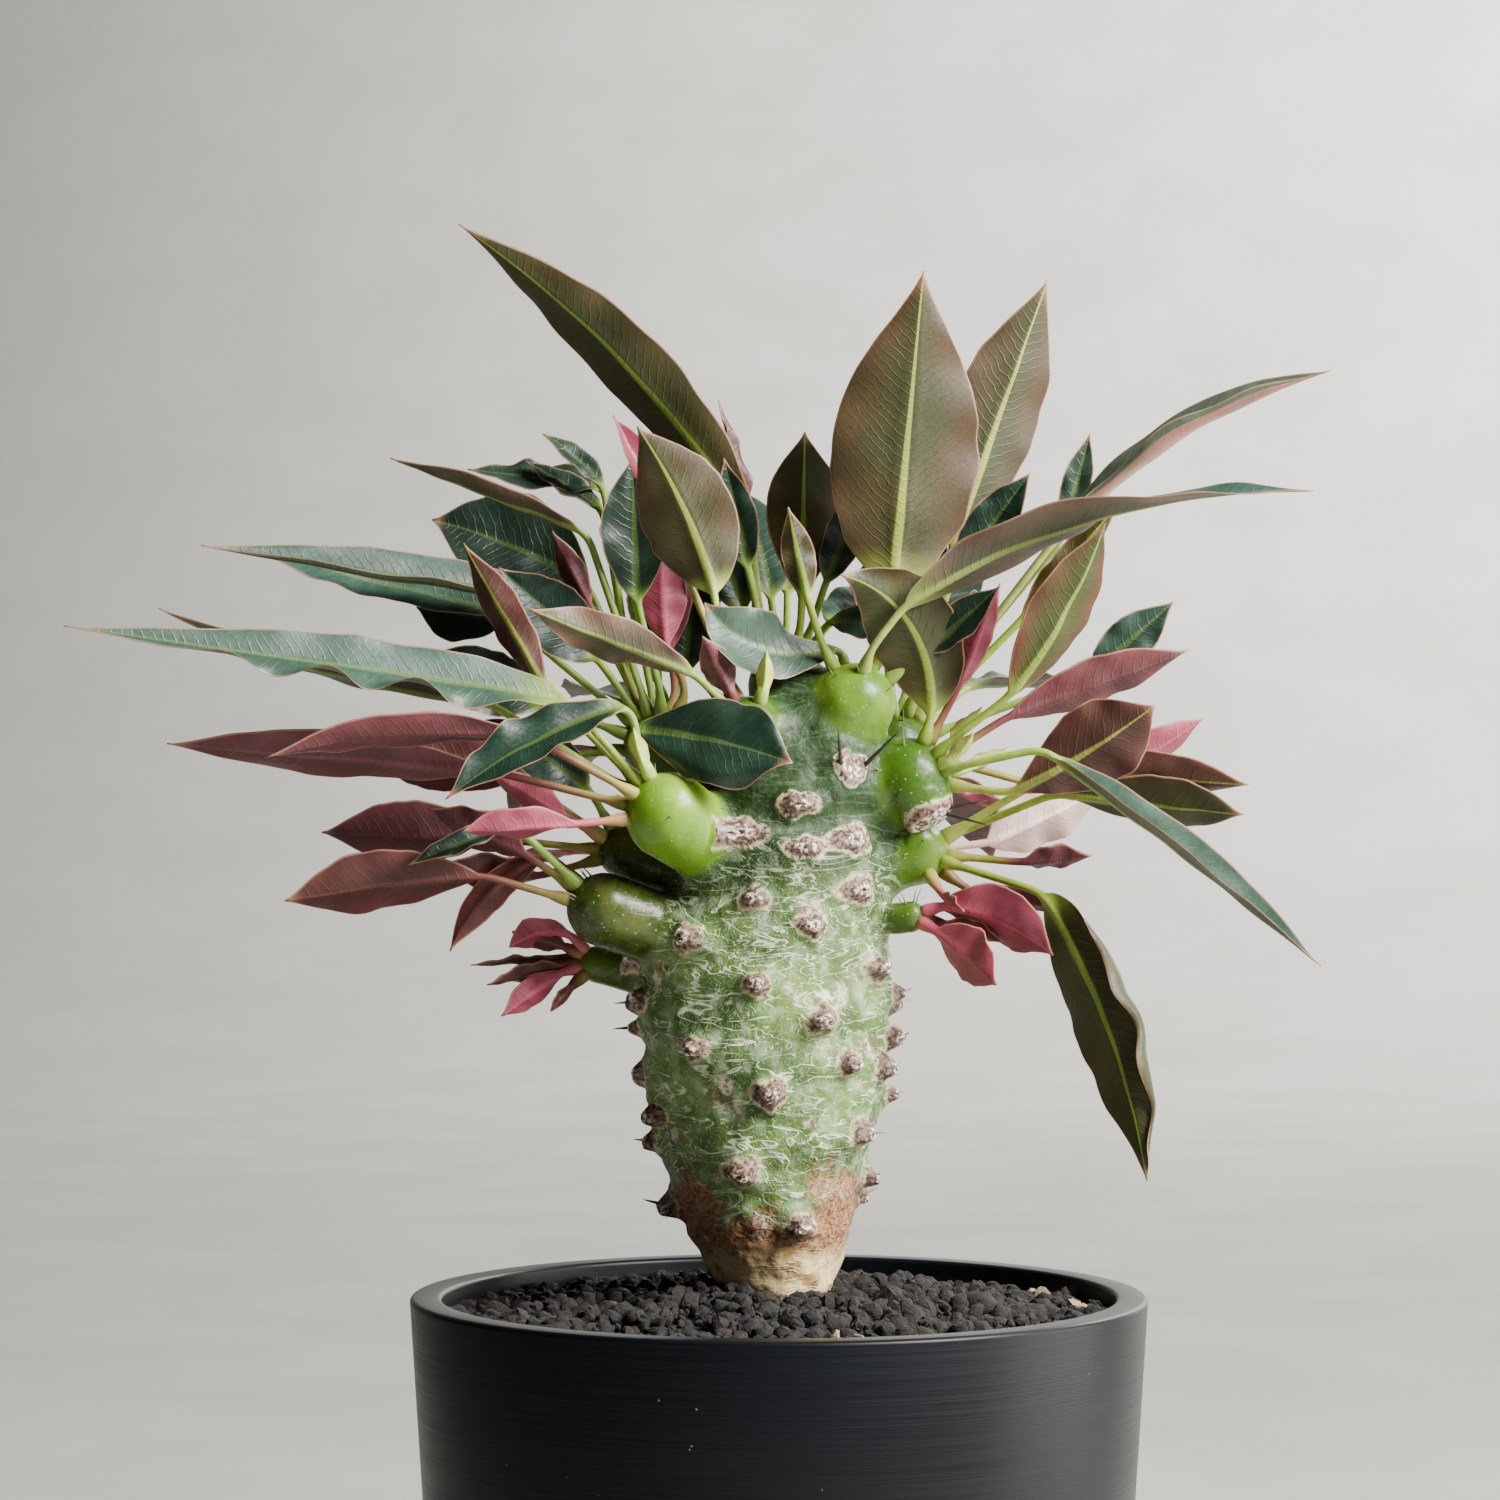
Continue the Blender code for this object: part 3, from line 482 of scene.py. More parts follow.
def leaf_material(tone):
    made = Nodes("leaf_" + tone, 0.42)
    across = made.math("ABSOLUTE", made.attribute("across"))
    along = made.attribute("along")
    distance = made.times(across, made.attribute("half"))
    place = made.place()
    blotch = made.noise(place, 0.1, 3.0)
    mottle = made.noise(place, 0.45, 4.0)
    fine = made.noise(place, 1.6, 4.0)
    on_blade = made.span(along, 0.0, 0.08)
    colour = blade_skin(made, tone, across, blotch, mottle)
    vein = side_veins(made, across, distance, mottle, on_blade)
    upper, under, _, _ = LEAF_COLOURS[tone]
    vein_colour = made.mix(made.attribute("under"), scaled(upper, 1.6), scaled(under, 0.55))
    colour = made.mix(made.times(vein, 0.17), colour, vein_colour)
    colour = with_rib(made, colour, tone, along, distance)
    colour = with_margin(made, colour, across, along, on_blade)
    made.set("Base Color", with_stalk(made, colour, tone, along, mottle))
    made.set("Roughness", made.plus(made.span(fine, 0.3, 0.7, 0.36, 0.5),
                                    made.times(made.attribute("under"), 0.1)))
    made.set("Specular IOR Level", 0.36)
    made.set("Subsurface Weight", 0.1)
    made.set("Subsurface Radius", (0.5, 0.6, 0.2))
    made.set("Subsurface Scale", 0.7 * MM)
    made.bump(made.plus(made.times(vein, 0.5), made.times(fine, 0.5)), 0.11, 0.7)
    return made.material


def stem_wax(made, place, height, broad, medium):
    """Waxy threads that run round the stem and curl below, and a thin haze."""
    streaks = made.noise(made.place((0.3, 0.3, 1.0)), 0.3, 2.0, 1.5, 0.55)
    curls = made.noise(place, 0.4, 1.6, 3.0, 0.55)
    haze = made.times(made.span(medium, 0.46, 0.76), 0.38)
    threads = made.math("MAXIMUM", made.times(made.contour(streaks, 0.027), 0.85),
                        made.times(made.contour(curls, 0.021), 0.7))
    thinning = made.span(made.stray(height, broad, 20.0), 152, 170, 1.0, 0.08)
    return made.times(made.math("MAXIMUM", threads, haze), thinning)


def with_cork(made, skin, place, height, broad, medium, fine):
    """Corky brown low down, tan at the foot, and a few scars."""
    cork = made.grade(fine, 0.35, 0.65, (0.15, 0.05, 0.022), (0.46, 0.24, 0.12))
    wander = made.stray(made.stray(height, broad, 46.0), medium, 12.0)
    skin = made.mix(made.span(wander, 109, 118, 0.92, 0.0), skin, cork)
    tan = made.grade(medium, 0.34, 0.5, (0.6, 0.35, 0.12), (0.96, 0.74, 0.38))
    skin = made.mix(made.span(made.stray(height, medium, 9.0), 104, 109, 1.0, 0.0), skin, tan)
    scar = made.times(made.span(made.noise(place, 0.16, 3.0), 0.6, 0.66), made.span(fine, 0.4, 0.6))
    scar_colour = made.grade(medium, 0.4, 0.6, (0.22, 0.09, 0.06), (0.7, 0.6, 0.45))
    return made.mix(made.times(scar, made.span(height, 165, 172, 0.85, 0.0)), skin, scar_colour)


def head_flesh(made, place, broad, medium):
    """The shoot heads: smooth and green, with pale dots, and browner where old."""
    deep = made.grade(broad, 0.35, 0.65, (0.018, 0.055, 0.004), (0.045, 0.115, 0.008))
    apple = made.grade(broad, 0.35, 0.65, (0.12, 0.25, 0.012), (0.24, 0.4, 0.03))
    flesh = made.mix(made.attribute("shade"), deep, apple)
    bark = made.grade(medium, 0.4, 0.6, (0.022, 0.026, 0.004), (0.065, 0.06, 0.014))
    flesh = made.mix(made.attribute("old"), flesh, bark)
    return made.mix(made.times(made.dots(place, 1.1, 0.08, 0.2), 0.4), flesh, (0.5, 0.6, 0.3))


def with_knobs(made, skin, medium, fine):
    """Knobs: a cracked cream halo, a grey flank, a pale worn middle and a dark pit."""
    knob = made.attribute("knob")
    ragged = made.stray(knob, medium, 1.1)
    halo = made.times(made.span(ragged, 1.55, 2.0, 1.0, 0.0), made.span(fine, 0.36, 0.52))
    skin = made.mix(made.times(halo, 0.85), skin, (0.66, 0.54, 0.32))
    flank = made.grade(fine, 0.35, 0.65, (0.045, 0.022, 0.016), (0.3, 0.2, 0.155))
    skin = made.mix(made.span(ragged, 1.25, 1.7, 1.0, 0.0), skin, flank)
    pale = made.grade(fine, 0.46, 0.6, (0.14, 0.085, 0.06), (0.88, 0.8, 0.64))
    skin = made.mix(made.span(ragged, 0.55, 0.95, 1.0, 0.0), skin, pale)
    return made.mix(made.span(knob, 0.16, 0.34, 1.0, 0.0), skin, (0.03, 0.018, 0.014))


def stem_material():
    made = Nodes("stem_skin", 0.5)
    made.set("Specular IOR Level", 0.36)
    place = made.place()
    height = made.attribute("height")
    young = made.attribute("young")
    broad = made.noise(place, 0.09, 4.0)
    medium = made.noise(place, 0.4, 5.0)
    fine = made.noise(place, 1.7, 5.0)
    wax = stem_wax(made, place, height, broad, medium)
    skin = made.grade(broad, 0.35, 0.65, (0.05, 0.105, 0.018), (0.12, 0.21, 0.04))
    # Painted shade: the skin turns deeper green towards the top, partly its own colour and partly the
    # crown's shadow painted in.
    skin = made.grade(height, 146, 168, skin, (0.009, 0.032, 0.003))
    skin = made.mix(wax, skin, (0.64, 0.74, 0.5))
    skin = with_cork(made, skin, place, height, broad, medium, fine)
    skin = made.mix(young, skin, head_flesh(made, place, broad, medium))
    made.set("Base Color", with_knobs(made, skin, medium, fine))
    made.set("Roughness", made.less(made.span(fine, 0.3, 0.7, 0.5, 0.68), made.times(young, 0.26)))
    made.set("Subsurface Weight", 0.06)
    made.set("Subsurface Scale", 1.0 * MM)
    relief = made.plus(made.times(wax, 0.5), made.times(fine, 0.6))
    made.bump(made.times(relief, made.less(1.0, made.times(young, 0.85))), 0.3, 0.8)
    return made.material


def pot_material():
    made = Nodes("pot_plastic", 0.4)
    made.set("Specular IOR Level", 0.2)
    lines = made.noise(made.place((0.02, 0.02, 6.0)), 1.0, 4.0)
    cloud = made.noise(made.place(), 0.05, 4.0)
    speck = made.times(made.dots(made.place(), 0.28, 0.02, 0.05), made.span(cloud, 0.5, 0.6))
    colour = made.grade(lines, 0.35, 0.65, (0.0012, 0.002, 0.0032), (0.003, 0.0042, 0.006))
    made.set("Base Color", made.mix(made.times(speck, 0.6), colour, (0.32, 0.31, 0.29)))
    made.set("Roughness", made.plus(made.span(lines, 0.3, 0.7, 0.32, 0.42), made.times(speck, 0.4)))
    made.bump(lines, 0.035, 0.7)
    return made.material


def soil_material():
    made = Nodes("soil_crumb", 0.92)
    tint = made.attribute("tint")
    grain = made.noise(made.place(), 2.2, 5.0)
    dark = made.grade(grain, 0.3, 0.7, (0.002, 0.0016, 0.0013), (0.01, 0.008, 0.0068))
    brown = made.grade(grain, 0.3, 0.7, (0.0045, 0.0032, 0.0024), (0.02, 0.015, 0.011))
    colour = made.grade(tint, 0.5, 0.95, dark, brown)
    colour = made.grade(tint, 0.992, 0.995, colour, (0.3, 0.22, 0.13))
    made.set("Base Color", colour)
    made.bump(grain, 0.35, 1.0)
    return made.material


def spine_material():
    made = Nodes("spine_horn", 0.45)
    shade = made.attribute("shade")
    streak = made.noise(made.place((1, 1, 3)), 1.5, 3.0)
    horn = made.mix(shade, (0.012, 0.009, 0.008), (0.5, 0.42, 0.34))
    made.set("Base Color", made.mix(made.span(streak, 0.4, 0.7, 0.0, 0.35), horn, (0.12, 0.07, 0.05)))
    return made.material


def stage_material():
    made = Nodes("stage_paper", 0.9)
    mottle = made.noise(made.place(), 0.012, 4.0)
    paper = made.grade(mottle, 0.3, 0.7, (0.46, 0.455, 0.42), (0.52, 0.515, 0.48))
    # painted shade: the paper grows darker to the left, away from the window
    aside = made.add("ShaderNodeSeparateXYZ")
    made.link(made.place(), aside.inputs["Vector"])
    made.set("Base Color", made.grade(aside.outputs["X"], -900, 100, (0.25, 0.25, 0.235), paper))
    return made.material


# ---------------------------------------------------------------- leaves

STALK_HALF = 0.55
BASE_FLARE = 0.45       # extra half width where a stalk leaves its head
BASE_LENGTH = 3.0
SUNK = 1.2              # how far a stalk starts inside its head
COLUMNS = 10            # steps from a leaf's rib to each margin
STEP = 0.8              # distance between stations along a leaf
TURN = 6.0              # length over which a stalk turns away from its head, or into its blade
BLADE_THICK = 0.32
RIB_HALF = 0.7
KEEL = 0.55             # how far the rib stands out below
TIP_HALF = 0.1
FULL_BASE = 0.75        # how full the blade's outline is by its base, and by its tip
FULL_TIP = 1.15
SEAT_RISE = 62.0        # the steepest way out of a head
SEAT_POINTS = 6         # how many of the CAD leaf's points are averaged at its seat and tip
BASE_CLEAR = 0.6
CURL_START = 0.5        # the share of the way to the margin at which a rolled margin starts
CUP = 9.0               # a blade cups upwards by this many degrees more at its margins


def bend(leaf, outward, along):
    """A leaf's direction at a distance along it."""
    stalk_length, stalk_rise = leaf.stalk
    blend = smooth((along - stalk_length + TURN / 2) / TURN)
    bent = leaf.rise + leaf.arch * max(0.0, along - stalk_length) / leaf.blade[0]
    aim = direction(leaf.heading, stalk_rise + blend * (bent - stalk_rise))
    return outward.lerp(aim, smooth(along / min(TURN, stalk_length))).normalized()


def leaf_stations(leaf, place, outward, lean):
    """Along a leaf: place, direction, distance, and share of the blade (negative on the stalk)."""
    stalk_length = leaf.stalk[0]
    blade_length = leaf.blade[0]
    total = stalk_length + blade_length
    count = math.ceil(total / STEP)
    stride = total / count
    stations = [(place - SUNK * outward, outward, 0.0, -stalk_length / blade_length)]
    for index in range(count + 1):
        travelled = index * stride
        leaned = place + Vector((0, lean * travelled / total, 0))
        share = (travelled - stalk_length) / blade_length
        stations.append((leaned, bend(leaf, outward, travelled), travelled, share))
        place = place + stride * bend(leaf, outward, travelled + stride / 2)
    return stations


def seat_rise(leaf):
    """How steeply a stalk leaves its head: a stalk rise above 90 leans back from its heading."""
    rise = leaf.stalk[1]
    return min(rise, SEAT_RISE) if rise <= 90 else max(rise, 180 - SEAT_RISE)


def seat_of(leaf):
    """Where the CAD leaf leaves its head, and how far its tip leans back, from the CAD node."""
    centre = Vector(HEADS[leaf.head].centre)
    points = node_points("leaf_" + leaf.name)
    nearest = sorted(points, key=lambda point: (point - centre).length)[:SEAT_POINTS]
    seat = sum(nearest, Vector()) / len(nearest)
    outward = (seat - centre).normalized()
    tip = leaf_stations(leaf, seat, outward, 0.0)[-1][0]
    close = sorted(points, key=lambda point: Vector((point.x - tip.x, point.z - tip.z)).length)
    close = close[:SEAT_POINTS]
    lean = sum(point.y for point in close) / len(close) - tip.y
    return seat, outward, lean


def blade_half(leaf, share, travelled):
    """Half the width of a leaf, half the width of its stalk or rib there, and the blade's spread."""
    stalk = STALK_HALF + BASE_FLARE * (1 - smooth(travelled / BASE_LENGTH))
    narrow = stalk + (TIP_HALF - stalk) * smooth(max(0.0, share))
    if not 0 < share < 1:
        return narrow, narrow, 0.0
    power = math.log(0.5) / math.log(leaf.belly)
    fullness = FULL_BASE + (FULL_TIP - FULL_BASE) * smooth((share - leaf.belly) / (1 - leaf.belly))
    spread = math.sin(math.pi * share ** power) ** fullness
    return max(narrow, leaf.blade[1] / 2 * spread), narrow, spread


def margin_swing(leaf, share, side):
    """How far a margin lifts at a share of the blade, as a part of its full swing."""
    seed = leaf_seed(leaf)
    count = leaf.wave[1]
    slow = noise.noise(Vector((share * count * 0.6, seed * 0.7, side * 3.0)))
    quick = noise.noise(Vector((share * count * 1.7, seed * 0.3, 9 + side * 5.0)))
    beat = math.sin(math.tau * count * share + seed + side * 1.3 + 2.2 * slow)
    return 0.6 * beat * (1 + 0.9 * slow) + 0.9 * quick


def leaf_seed(leaf):
    return sum(ord(letter) for letter in leaf.name) % 97


def half_section(leaf, side, half, share):
    """From rib to margin: sideways distance and lift of each column, for one side of the blade."""
    curl = leaf.curl[0 if side < 0 else 1] * smooth(share / 0.25) * smooth((1 - share) / 0.12)
    places, across, lift, before = [(0.0, 0.0)], 0.0, 0.0, 0.0
    for index in range(1, COLUMNS + 1):
        reach = math.sin(math.pi / 2 * index / COLUMNS)
        angle = leaf.fold + CUP * reach + curl * smooth((reach - CURL_START) / (1 - CURL_START))
        across += (reach - before) * half * math.cos(math.radians(angle))
        lift += (reach - before) * half * math.sin(math.radians(angle))
        before = reach
        places.append((across, lift))
    return places


def leaf_ring(leaf, centre, aim, travelled, share):
    """The points round a leaf at one station, and each one's across, along, under, half and travel."""
    seed = leaf_seed(leaf)
    turn = Matrix.Rotation(math.radians(leaf.twist * smooth(share)), 3, aim)
    upper = turn @ direction(*leaf.faces)
    normal = (upper - upper.dot(aim) * aim).normalized()
    side_way = aim.cross(normal)
    half, narrow, spread = blade_half(leaf, share, travelled)
    flat = smooth((half / narrow - 1) / 1.2)
    sections = {side: half_section(leaf, side, half, share) for side in (-1, 1)}
    swings = {side: leaf.wave[0] * leaf.sway[0 if side < 0 else 1] * spread
              * margin_swing(leaf, share, side) for side in (-1, 1)}
    nicks = {side: 1 + 0.07 * flat * noise.noise(Vector((share * 11, seed, side * 2.0)))
             for side in (-1, 1)}
    ring, values = [], []
    for under in (0, 1):
        columns = range(-COLUMNS, COLUMNS + 1) if not under else range(COLUMNS - 1, -COLUMNS, -1)
        for column in columns:
            side = -1 if column < 0 else 1
            theta = math.pi / 2 * column / COLUMNS
            reach = abs(math.sin(theta))
            across, lift = sections[side][abs(column)]
            wander = noise.noise(Vector((share * 6 + seed, side * reach * 1.1, seed * 0.37)))
            lift = flat * (lift + swings[side] * reach ** 2.2 + 0.45 * spread * wander)
            across = side * ((1 - flat) * reach * half + flat * across * nicks[side])
            rib = math.exp(-(reach * half / RIB_HALF) ** 2)
            thick = BLADE_THICK / 2 * (1 - 0.65 * reach ** 4)
            blade = thick + KEEL * rib * (1 - max(0.0, share)) if under else thick - 0.12 * rib
            height = (1 - flat) * narrow * math.cos(theta) + flat * blade
            up = lift + (-height if under else height)
            ring.append(centre + across * side_way + up * normal)
            values.append((side * reach, share, float(under), half, travelled))
    return ring, values


def leaf_start(leaf, replaced):
    """Where a leaf leaves its head, which way, and how far its tip leans back."""
    if replaced:
        return seat_of(leaf)
    head = HEADS[leaf.head]
    outward = direction(leaf.heading, seat_rise(leaf))
    return Vector(head.centre) + (head.radius + BASE_CLEAR) * outward, outward, 0.0


def make_leaf(leaf, material, replaced=True):
    points, values = [], []
    stations = leaf_stations(leaf, *leaf_start(leaf, replaced))
    for station in stations:
        ring, marks = leaf_ring(leaf, *station)
        points += ring
        values += marks
    count = len(points) // len(stations)
    faces = [tuple(reversed(range(count))), tuple(range(len(points) - count, len(points)))]
    faces += ring_faces(0, count, len(stations))
    node = "leaf_" + leaf.name if replaced else None
    piece = new_piece("blade_" + leaf.name, points, faces, material, node)
    turn_out(piece.data)
    for index, name in enumerate(("across", "along", "under", "half", "travel")):
        store(piece.data, name, [value[index] for value in values])
    tint = (leaf_seed(leaf) * GOLDEN_SHARE) % 1
    store(piece.data, "tint", [tint] * len(values))


def leaves():
    materials = {tone: leaf_material(tone) for tone in LEAF_COLOURS}
    for leaf in LEAVES:
        make_leaf(leaf, materials[leaf.tone])
    for leaf in SMALL_LEAVES:
        make_leaf(leaf, materials[leaf.tone], replaced=False)


# ---------------------------------------------------------------- stem and spines

STEM_VOXEL = 0.42
SETTLE_STEPS = 4
BLEND = 3.2             # how softly heads grow out of the stem
NECK_SHARE = 0.85
SLOPE_STEP = 0.05
RAY_FAR = 42.0          # the search for the skin runs inwards from here
RAY_NEAR = 2.0
RAY_STEP = 0.1
ON_HEAD = 0.9           # skin this far off the bare stem is on a head
KNOB_SIZE = 1.24
CUT_EXTRA = 0.5
KNOB_REACH = 3.6        # how far in or out along a knob's axis the skin still takes its mark
NO_KNOB = 9.0           # the knob measure where none is near
KNOBS_LOW = 165.0       # below this height the knobs grow taller and rounder, over KNOBS_CHANGE
KNOBS_CHANGE = 20.0


def soft_union(first, second, blend):
    share = np.clip(0.5 + 0.5 * (second - first) / blend, 0, 1)
    return second + (first - second) * share - blend * share * (1 - share)


def stem_core(points):
    """Signed distance from the bare stem, turned from its profile."""
    heights, asides, radii = (np.array(column, dtype=float) for column in zip(*STEM_PROFILE))
    aside = np.interp(points[:, 2], heights, asides)
    radius = np.interp(points[:, 2], heights, radii)
    return np.maximum(np.hypot(points[:, 0] - aside, points[:, 1]) - radius, points[:, 2] - heights[-1])


def head_field(points, head):
    """Signed distance from one head and its neck."""
    heights, asides, radii = zip(*STEM_PROFILE)
    aside = float(np.interp(head.root, heights, asides))
    radius = float(np.interp(head.root, heights, radii))
    centre = np.array(head.centre, dtype=float)
    flat = centre - np.array((aside, 0, centre[2]))
    start = np.array((aside, 0, head.root)) + 0.4 * radius * flat / np.linalg.norm(flat)
    axis = centre - start
    share = np.clip((points - start) @ axis / (axis @ axis), 0, 1)
    girth = head.radius * (NECK_SHARE + (1 - NECK_SHARE) * share)
    return np.linalg.norm(points - start - share[:, None] * axis, axis=1) - girth


def stem_field(points):
    field = stem_core(points)
    for head in HEADS.values():
        field = soft_union(field, head_field(points, head), min(BLEND, head.radius * 0.6))
    return field


def field_slope(points):
    """The outward direction of the stem's field at each point."""
    slope = np.empty_like(points)
    for axis in range(3):
        offset = np.zeros(3)
        offset[axis] = SLOPE_STEP
        slope[:, axis] = stem_field(points + offset) - stem_field(points - offset)
    return slope / np.maximum(np.linalg.norm(slope, axis=1), 1e-9)[:, None]


def knob_places():
    """Heading, height and a cut flag for every knob."""
    places = [(heading, height, (heading, height) in CUT_KNOBS) for heading, height in FRONT_KNOBS]
    for index in range(BACK_KNOBS):
        heading = BACK_KNOB_FIRST + BACK_KNOB_SWEEP * ((index * GOLDEN_SHARE) % 1)
        places.append((heading, BACK_KNOB_LOW + index * BACK_KNOB_STEP, False))
    return places


def skin_point(heading, height):
    """Where the stem's skin lies in a direction, and whether that is on a head."""
    heights, asides = [row[0] for row in STEM_PROFILE], [row[1] for row in STEM_PROFILE]
    middle = np.array((float(np.interp(height, heights, asides)), 0, height))
    outward = np.array(direction(heading, 0))
    reaches = np.arange(RAY_FAR, RAY_NEAR, -RAY_STEP)
    line = middle + reaches[:, None] * outward
    reach = reaches[np.argmax(stem_field(line) < 0)]
    point = middle + reach * outward
    return point, outward, float(stem_core(point[None])[0]) > ON_HEAD


def fine_stem():
    """A piece with the CAD stem's shape as one even, fine mesh."""
    mesh = NODES["stem"].data.copy()
    mesh.materials.clear()
    mesh.materials.append(stem_material())
    piece = bpy.data.objects.new("stem_skin", mesh)
    bpy.context.scene.collection.objects.link(piece)
    weld = piece.modifiers.new("weld", "WELD")
    weld.merge_threshold = 0.00001
    remesh = piece.modifiers.new("remesh", "REMESH")
    remesh.mode = "VOXEL"
    remesh.voxel_size = STEM_VOXEL * MM
    bake_modifiers(piece)
    piece.data.shade_smooth()
    return piece


def settled_points(mesh):
    """The mesh's points, moved onto the stem's soft form."""
    flat = np.empty(len(mesh.vertices) * 3)
    mesh.vertices.foreach_get("co", flat)
    points = flat.reshape(-1, 3) / MM
    for _ in range(SETTLE_STEPS):
        points = points - stem_field(points)[:, None] * field_slope(points)
    return points


def knob_radial(points, end, outward, index, cut, low, size):
    """Each point's distance from a knob's middle as a share of its size, with an uneven outline."""
    offset = points - end
    across = offset @ np.cross(outward, (0, 0, 1))
    upward = offset[:, 2]
    angle = np.arctan2(upward, across)
    uneven = 1 + 0.1 * np.sin(3 * angle + 5.1 * index) + 0.07 * np.sin(5 * angle + 2.3 * index)
    wide, high = (1.2, 1.2) if cut else (1.55 - 0.45 * low, 0.95)
    radial = np.hypot(across / wide, upward / high) / (size * uneven)
    return np.where(np.abs(offset @ outward) < KNOB_REACH, radial, NO_KNOB)


def raise_knobs(points):
    """The knob measure at each point, how far knobs push it out, and the knobs themselves."""
    knob, push, knobs = np.full(len(points), NO_KNOB), np.zeros(len(points)), []
    for index, (heading, height, cut) in enumerate(knob_places()):
        end, outward, on_head = skin_point(heading, height)
        if on_head and not cut:
            continue
        low = smooth((KNOBS_LOW - height) / KNOBS_CHANGE)
        size = KNOB_SIZE + 0.2 * math.sin(3.7 * index) + (CUT_EXTRA if cut else 0.0)
        tall = (1.35 + 0.9 * low + 0.5 * noise.noise(Vector((index * 2.3, 0, 0)))) * size
        radial = knob_radial(points, end, outward, index, cut, low, size)
        push += tall * np.exp(-(radial / 1.25) ** 2.4) * (radial < 5)
        push += 0.22 * np.exp(-((radial - 1.9) / 0.35) ** 2)
        if cut:
            ringed = np.maximum(radial, 0.4) + 1.2 * np.maximum(radial - 0.95, 0)
            knob = np.minimum(knob, ringed)
            push = np.where(radial < 1.2, np.minimum(push, tall * 0.6), push)
        else:
            knob = np.minimum(knob, radial)
            push -= 0.55 * np.exp(-(radial / 0.33) ** 2)
        knobs.append((Vector(end), Vector(outward), cut, index, tall))
    return knob, push, knobs


def head_shades(points):
    """How much each point is shoot head, how light its green is, and how old."""
    young, shade, old = np.zeros(len(points)), np.zeros(len(points)), np.zeros(len(points))
    core = stem_core(points)
    for head in HEADS.values():
        near = np.clip(1 - head_field(points, head) / 1.5, 0, 1) * np.clip((core - 0.2) / 2.2, 0, 1)
        young = np.maximum(young, near)
        shade = np.maximum(shade, near * head.shade)
        old = np.maximum(old, near * head.olive)
    return young, shade, old


def stem():
    """The stem's skin, settled from the CAD stem onto its soft form, with worn knobs on it."""
    piece = fine_stem()
    mesh = piece.data
    points = settled_points(mesh)
    normals = field_slope(points)
    knob, push, knobs = raise_knobs(points)
    young, shade, old = head_shades(points)
    grain = np.array([noise.fractal(Vector(point) * 0.33, 1.0, 2.0, 4) for point in points])
    lumps = np.array([noise.noise(Vector((x * 0.08, y * 0.08, z * 0.2))) for x, y, z in points])
    push += (0.3 * grain + 1.0 * lumps) * (1 - 0.7 * young)
    points = points + normals * push[:, None]
    mesh.vertices.foreach_set("co", (points * MM).ravel())
    mesh.update()
    for name, values in (("knob", knob), ("young", young), ("shade", shade), ("old", old),
                         ("height", points[:, 2])):
        store(mesh, name, values)
    finish_piece(piece, "stem")
    return knobs


# ---------------------------------------------------------------- spines

SPINE_SIDES = 7
SPINE_STEPS = 8
SPINE_THICK = 0.36
BRACT_THICK = 0.3
BRISTLE_THICK = 0.14
BRISTLES = 5            # on each head
# Long black spines on the cut knobs: heading and height of the knob, then each spine's side offset,
# heading, rise and length
CUT_SPINES = (
    ((303, 175), ((-1.6, 260, 62, 7.5), (1.8, 320, 38, 9.5))),
    ((338, 169), ((0.4, 345, 12, 8.0), (0.8, 335, -14, 9.0))),
)


def spine_rows(knobs):
    """Start, direction, length, radius, droop and shade of every spine, bristle and bract."""
    draw = random.Random(5)
    rows = []
    for place, spines in CUT_SPINES:
        end, outward, _ = skin_point(*place)
        sideways = Vector(outward).cross(UP)
        for offset, heading, rise, length in spines:
            rows.append((Vector(end) - offset * sideways + 0.6 * Vector(outward),
                         direction(heading, rise), length, SPINE_THICK, 0.0, 0.0))
    for end, outward, cut, index, tall in knobs:
        if cut or index % 3 == 1:
            continue
        sideways = outward.cross(UP)
        aim = outward + draw.uniform(-0.5, 0.5) * sideways + Vector((0, 0, draw.uniform(-0.2, 0.5)))
        rows.append((end + (tall - 0.9) * outward, aim.normalized(), draw.uniform(1.5, 3.4),
                     BRACT_THICK, 0.0, draw.choice((0.0, 0.85, 1.0))))
    for head in HEADS.values():
        for _ in range(BRISTLES):
            outward = direction(draw.uniform(150, 390), draw.uniform(-5, 70))
            start = Vector(head.centre) + (head.radius - 0.4) * outward
            aim = (outward + 0.5 * Vector((draw.uniform(-1, 1), 0, draw.uniform(-1, 1)))).normalized()
            rows.append((start, aim, draw.uniform(2.0, 4.2), BRISTLE_THICK, -0.1, 0.45))
    return rows


def spines(knobs):
    points, faces, shades = [], [], []
    for start, aim, length, thick, droop, shade in spine_rows(knobs):
        across = aim.orthogonal().normalized()
        other = aim.cross(across)
        first = len(points)
        for step in range(SPINE_STEPS):
            share = step / (SPINE_STEPS - 1)
            centre = start - 0.5 * aim + length * share * aim + UP * length * droop * share ** 2
            radius = thick * (1 - share) ** 0.75 + 0.02
            for index in range(SPINE_SIDES):
                angle = math.tau * index / SPINE_SIDES
                points.append(centre + radius * (math.cos(angle) * across + math.sin(angle) * other))
                shades.append(shade)
        faces += ring_faces(first, SPINE_SIDES, SPINE_STEPS)
        faces.append(tuple(range(first, first + SPINE_SIDES)))
        faces.append(tuple(range(len(points) - SPINE_SIDES, len(points))))
    piece = new_piece("spines", points, faces, spine_material())
    turn_out(piece.data)
    store(piece.data, "shade", shades)


# ---------------------------------------------------------------- pot and soil

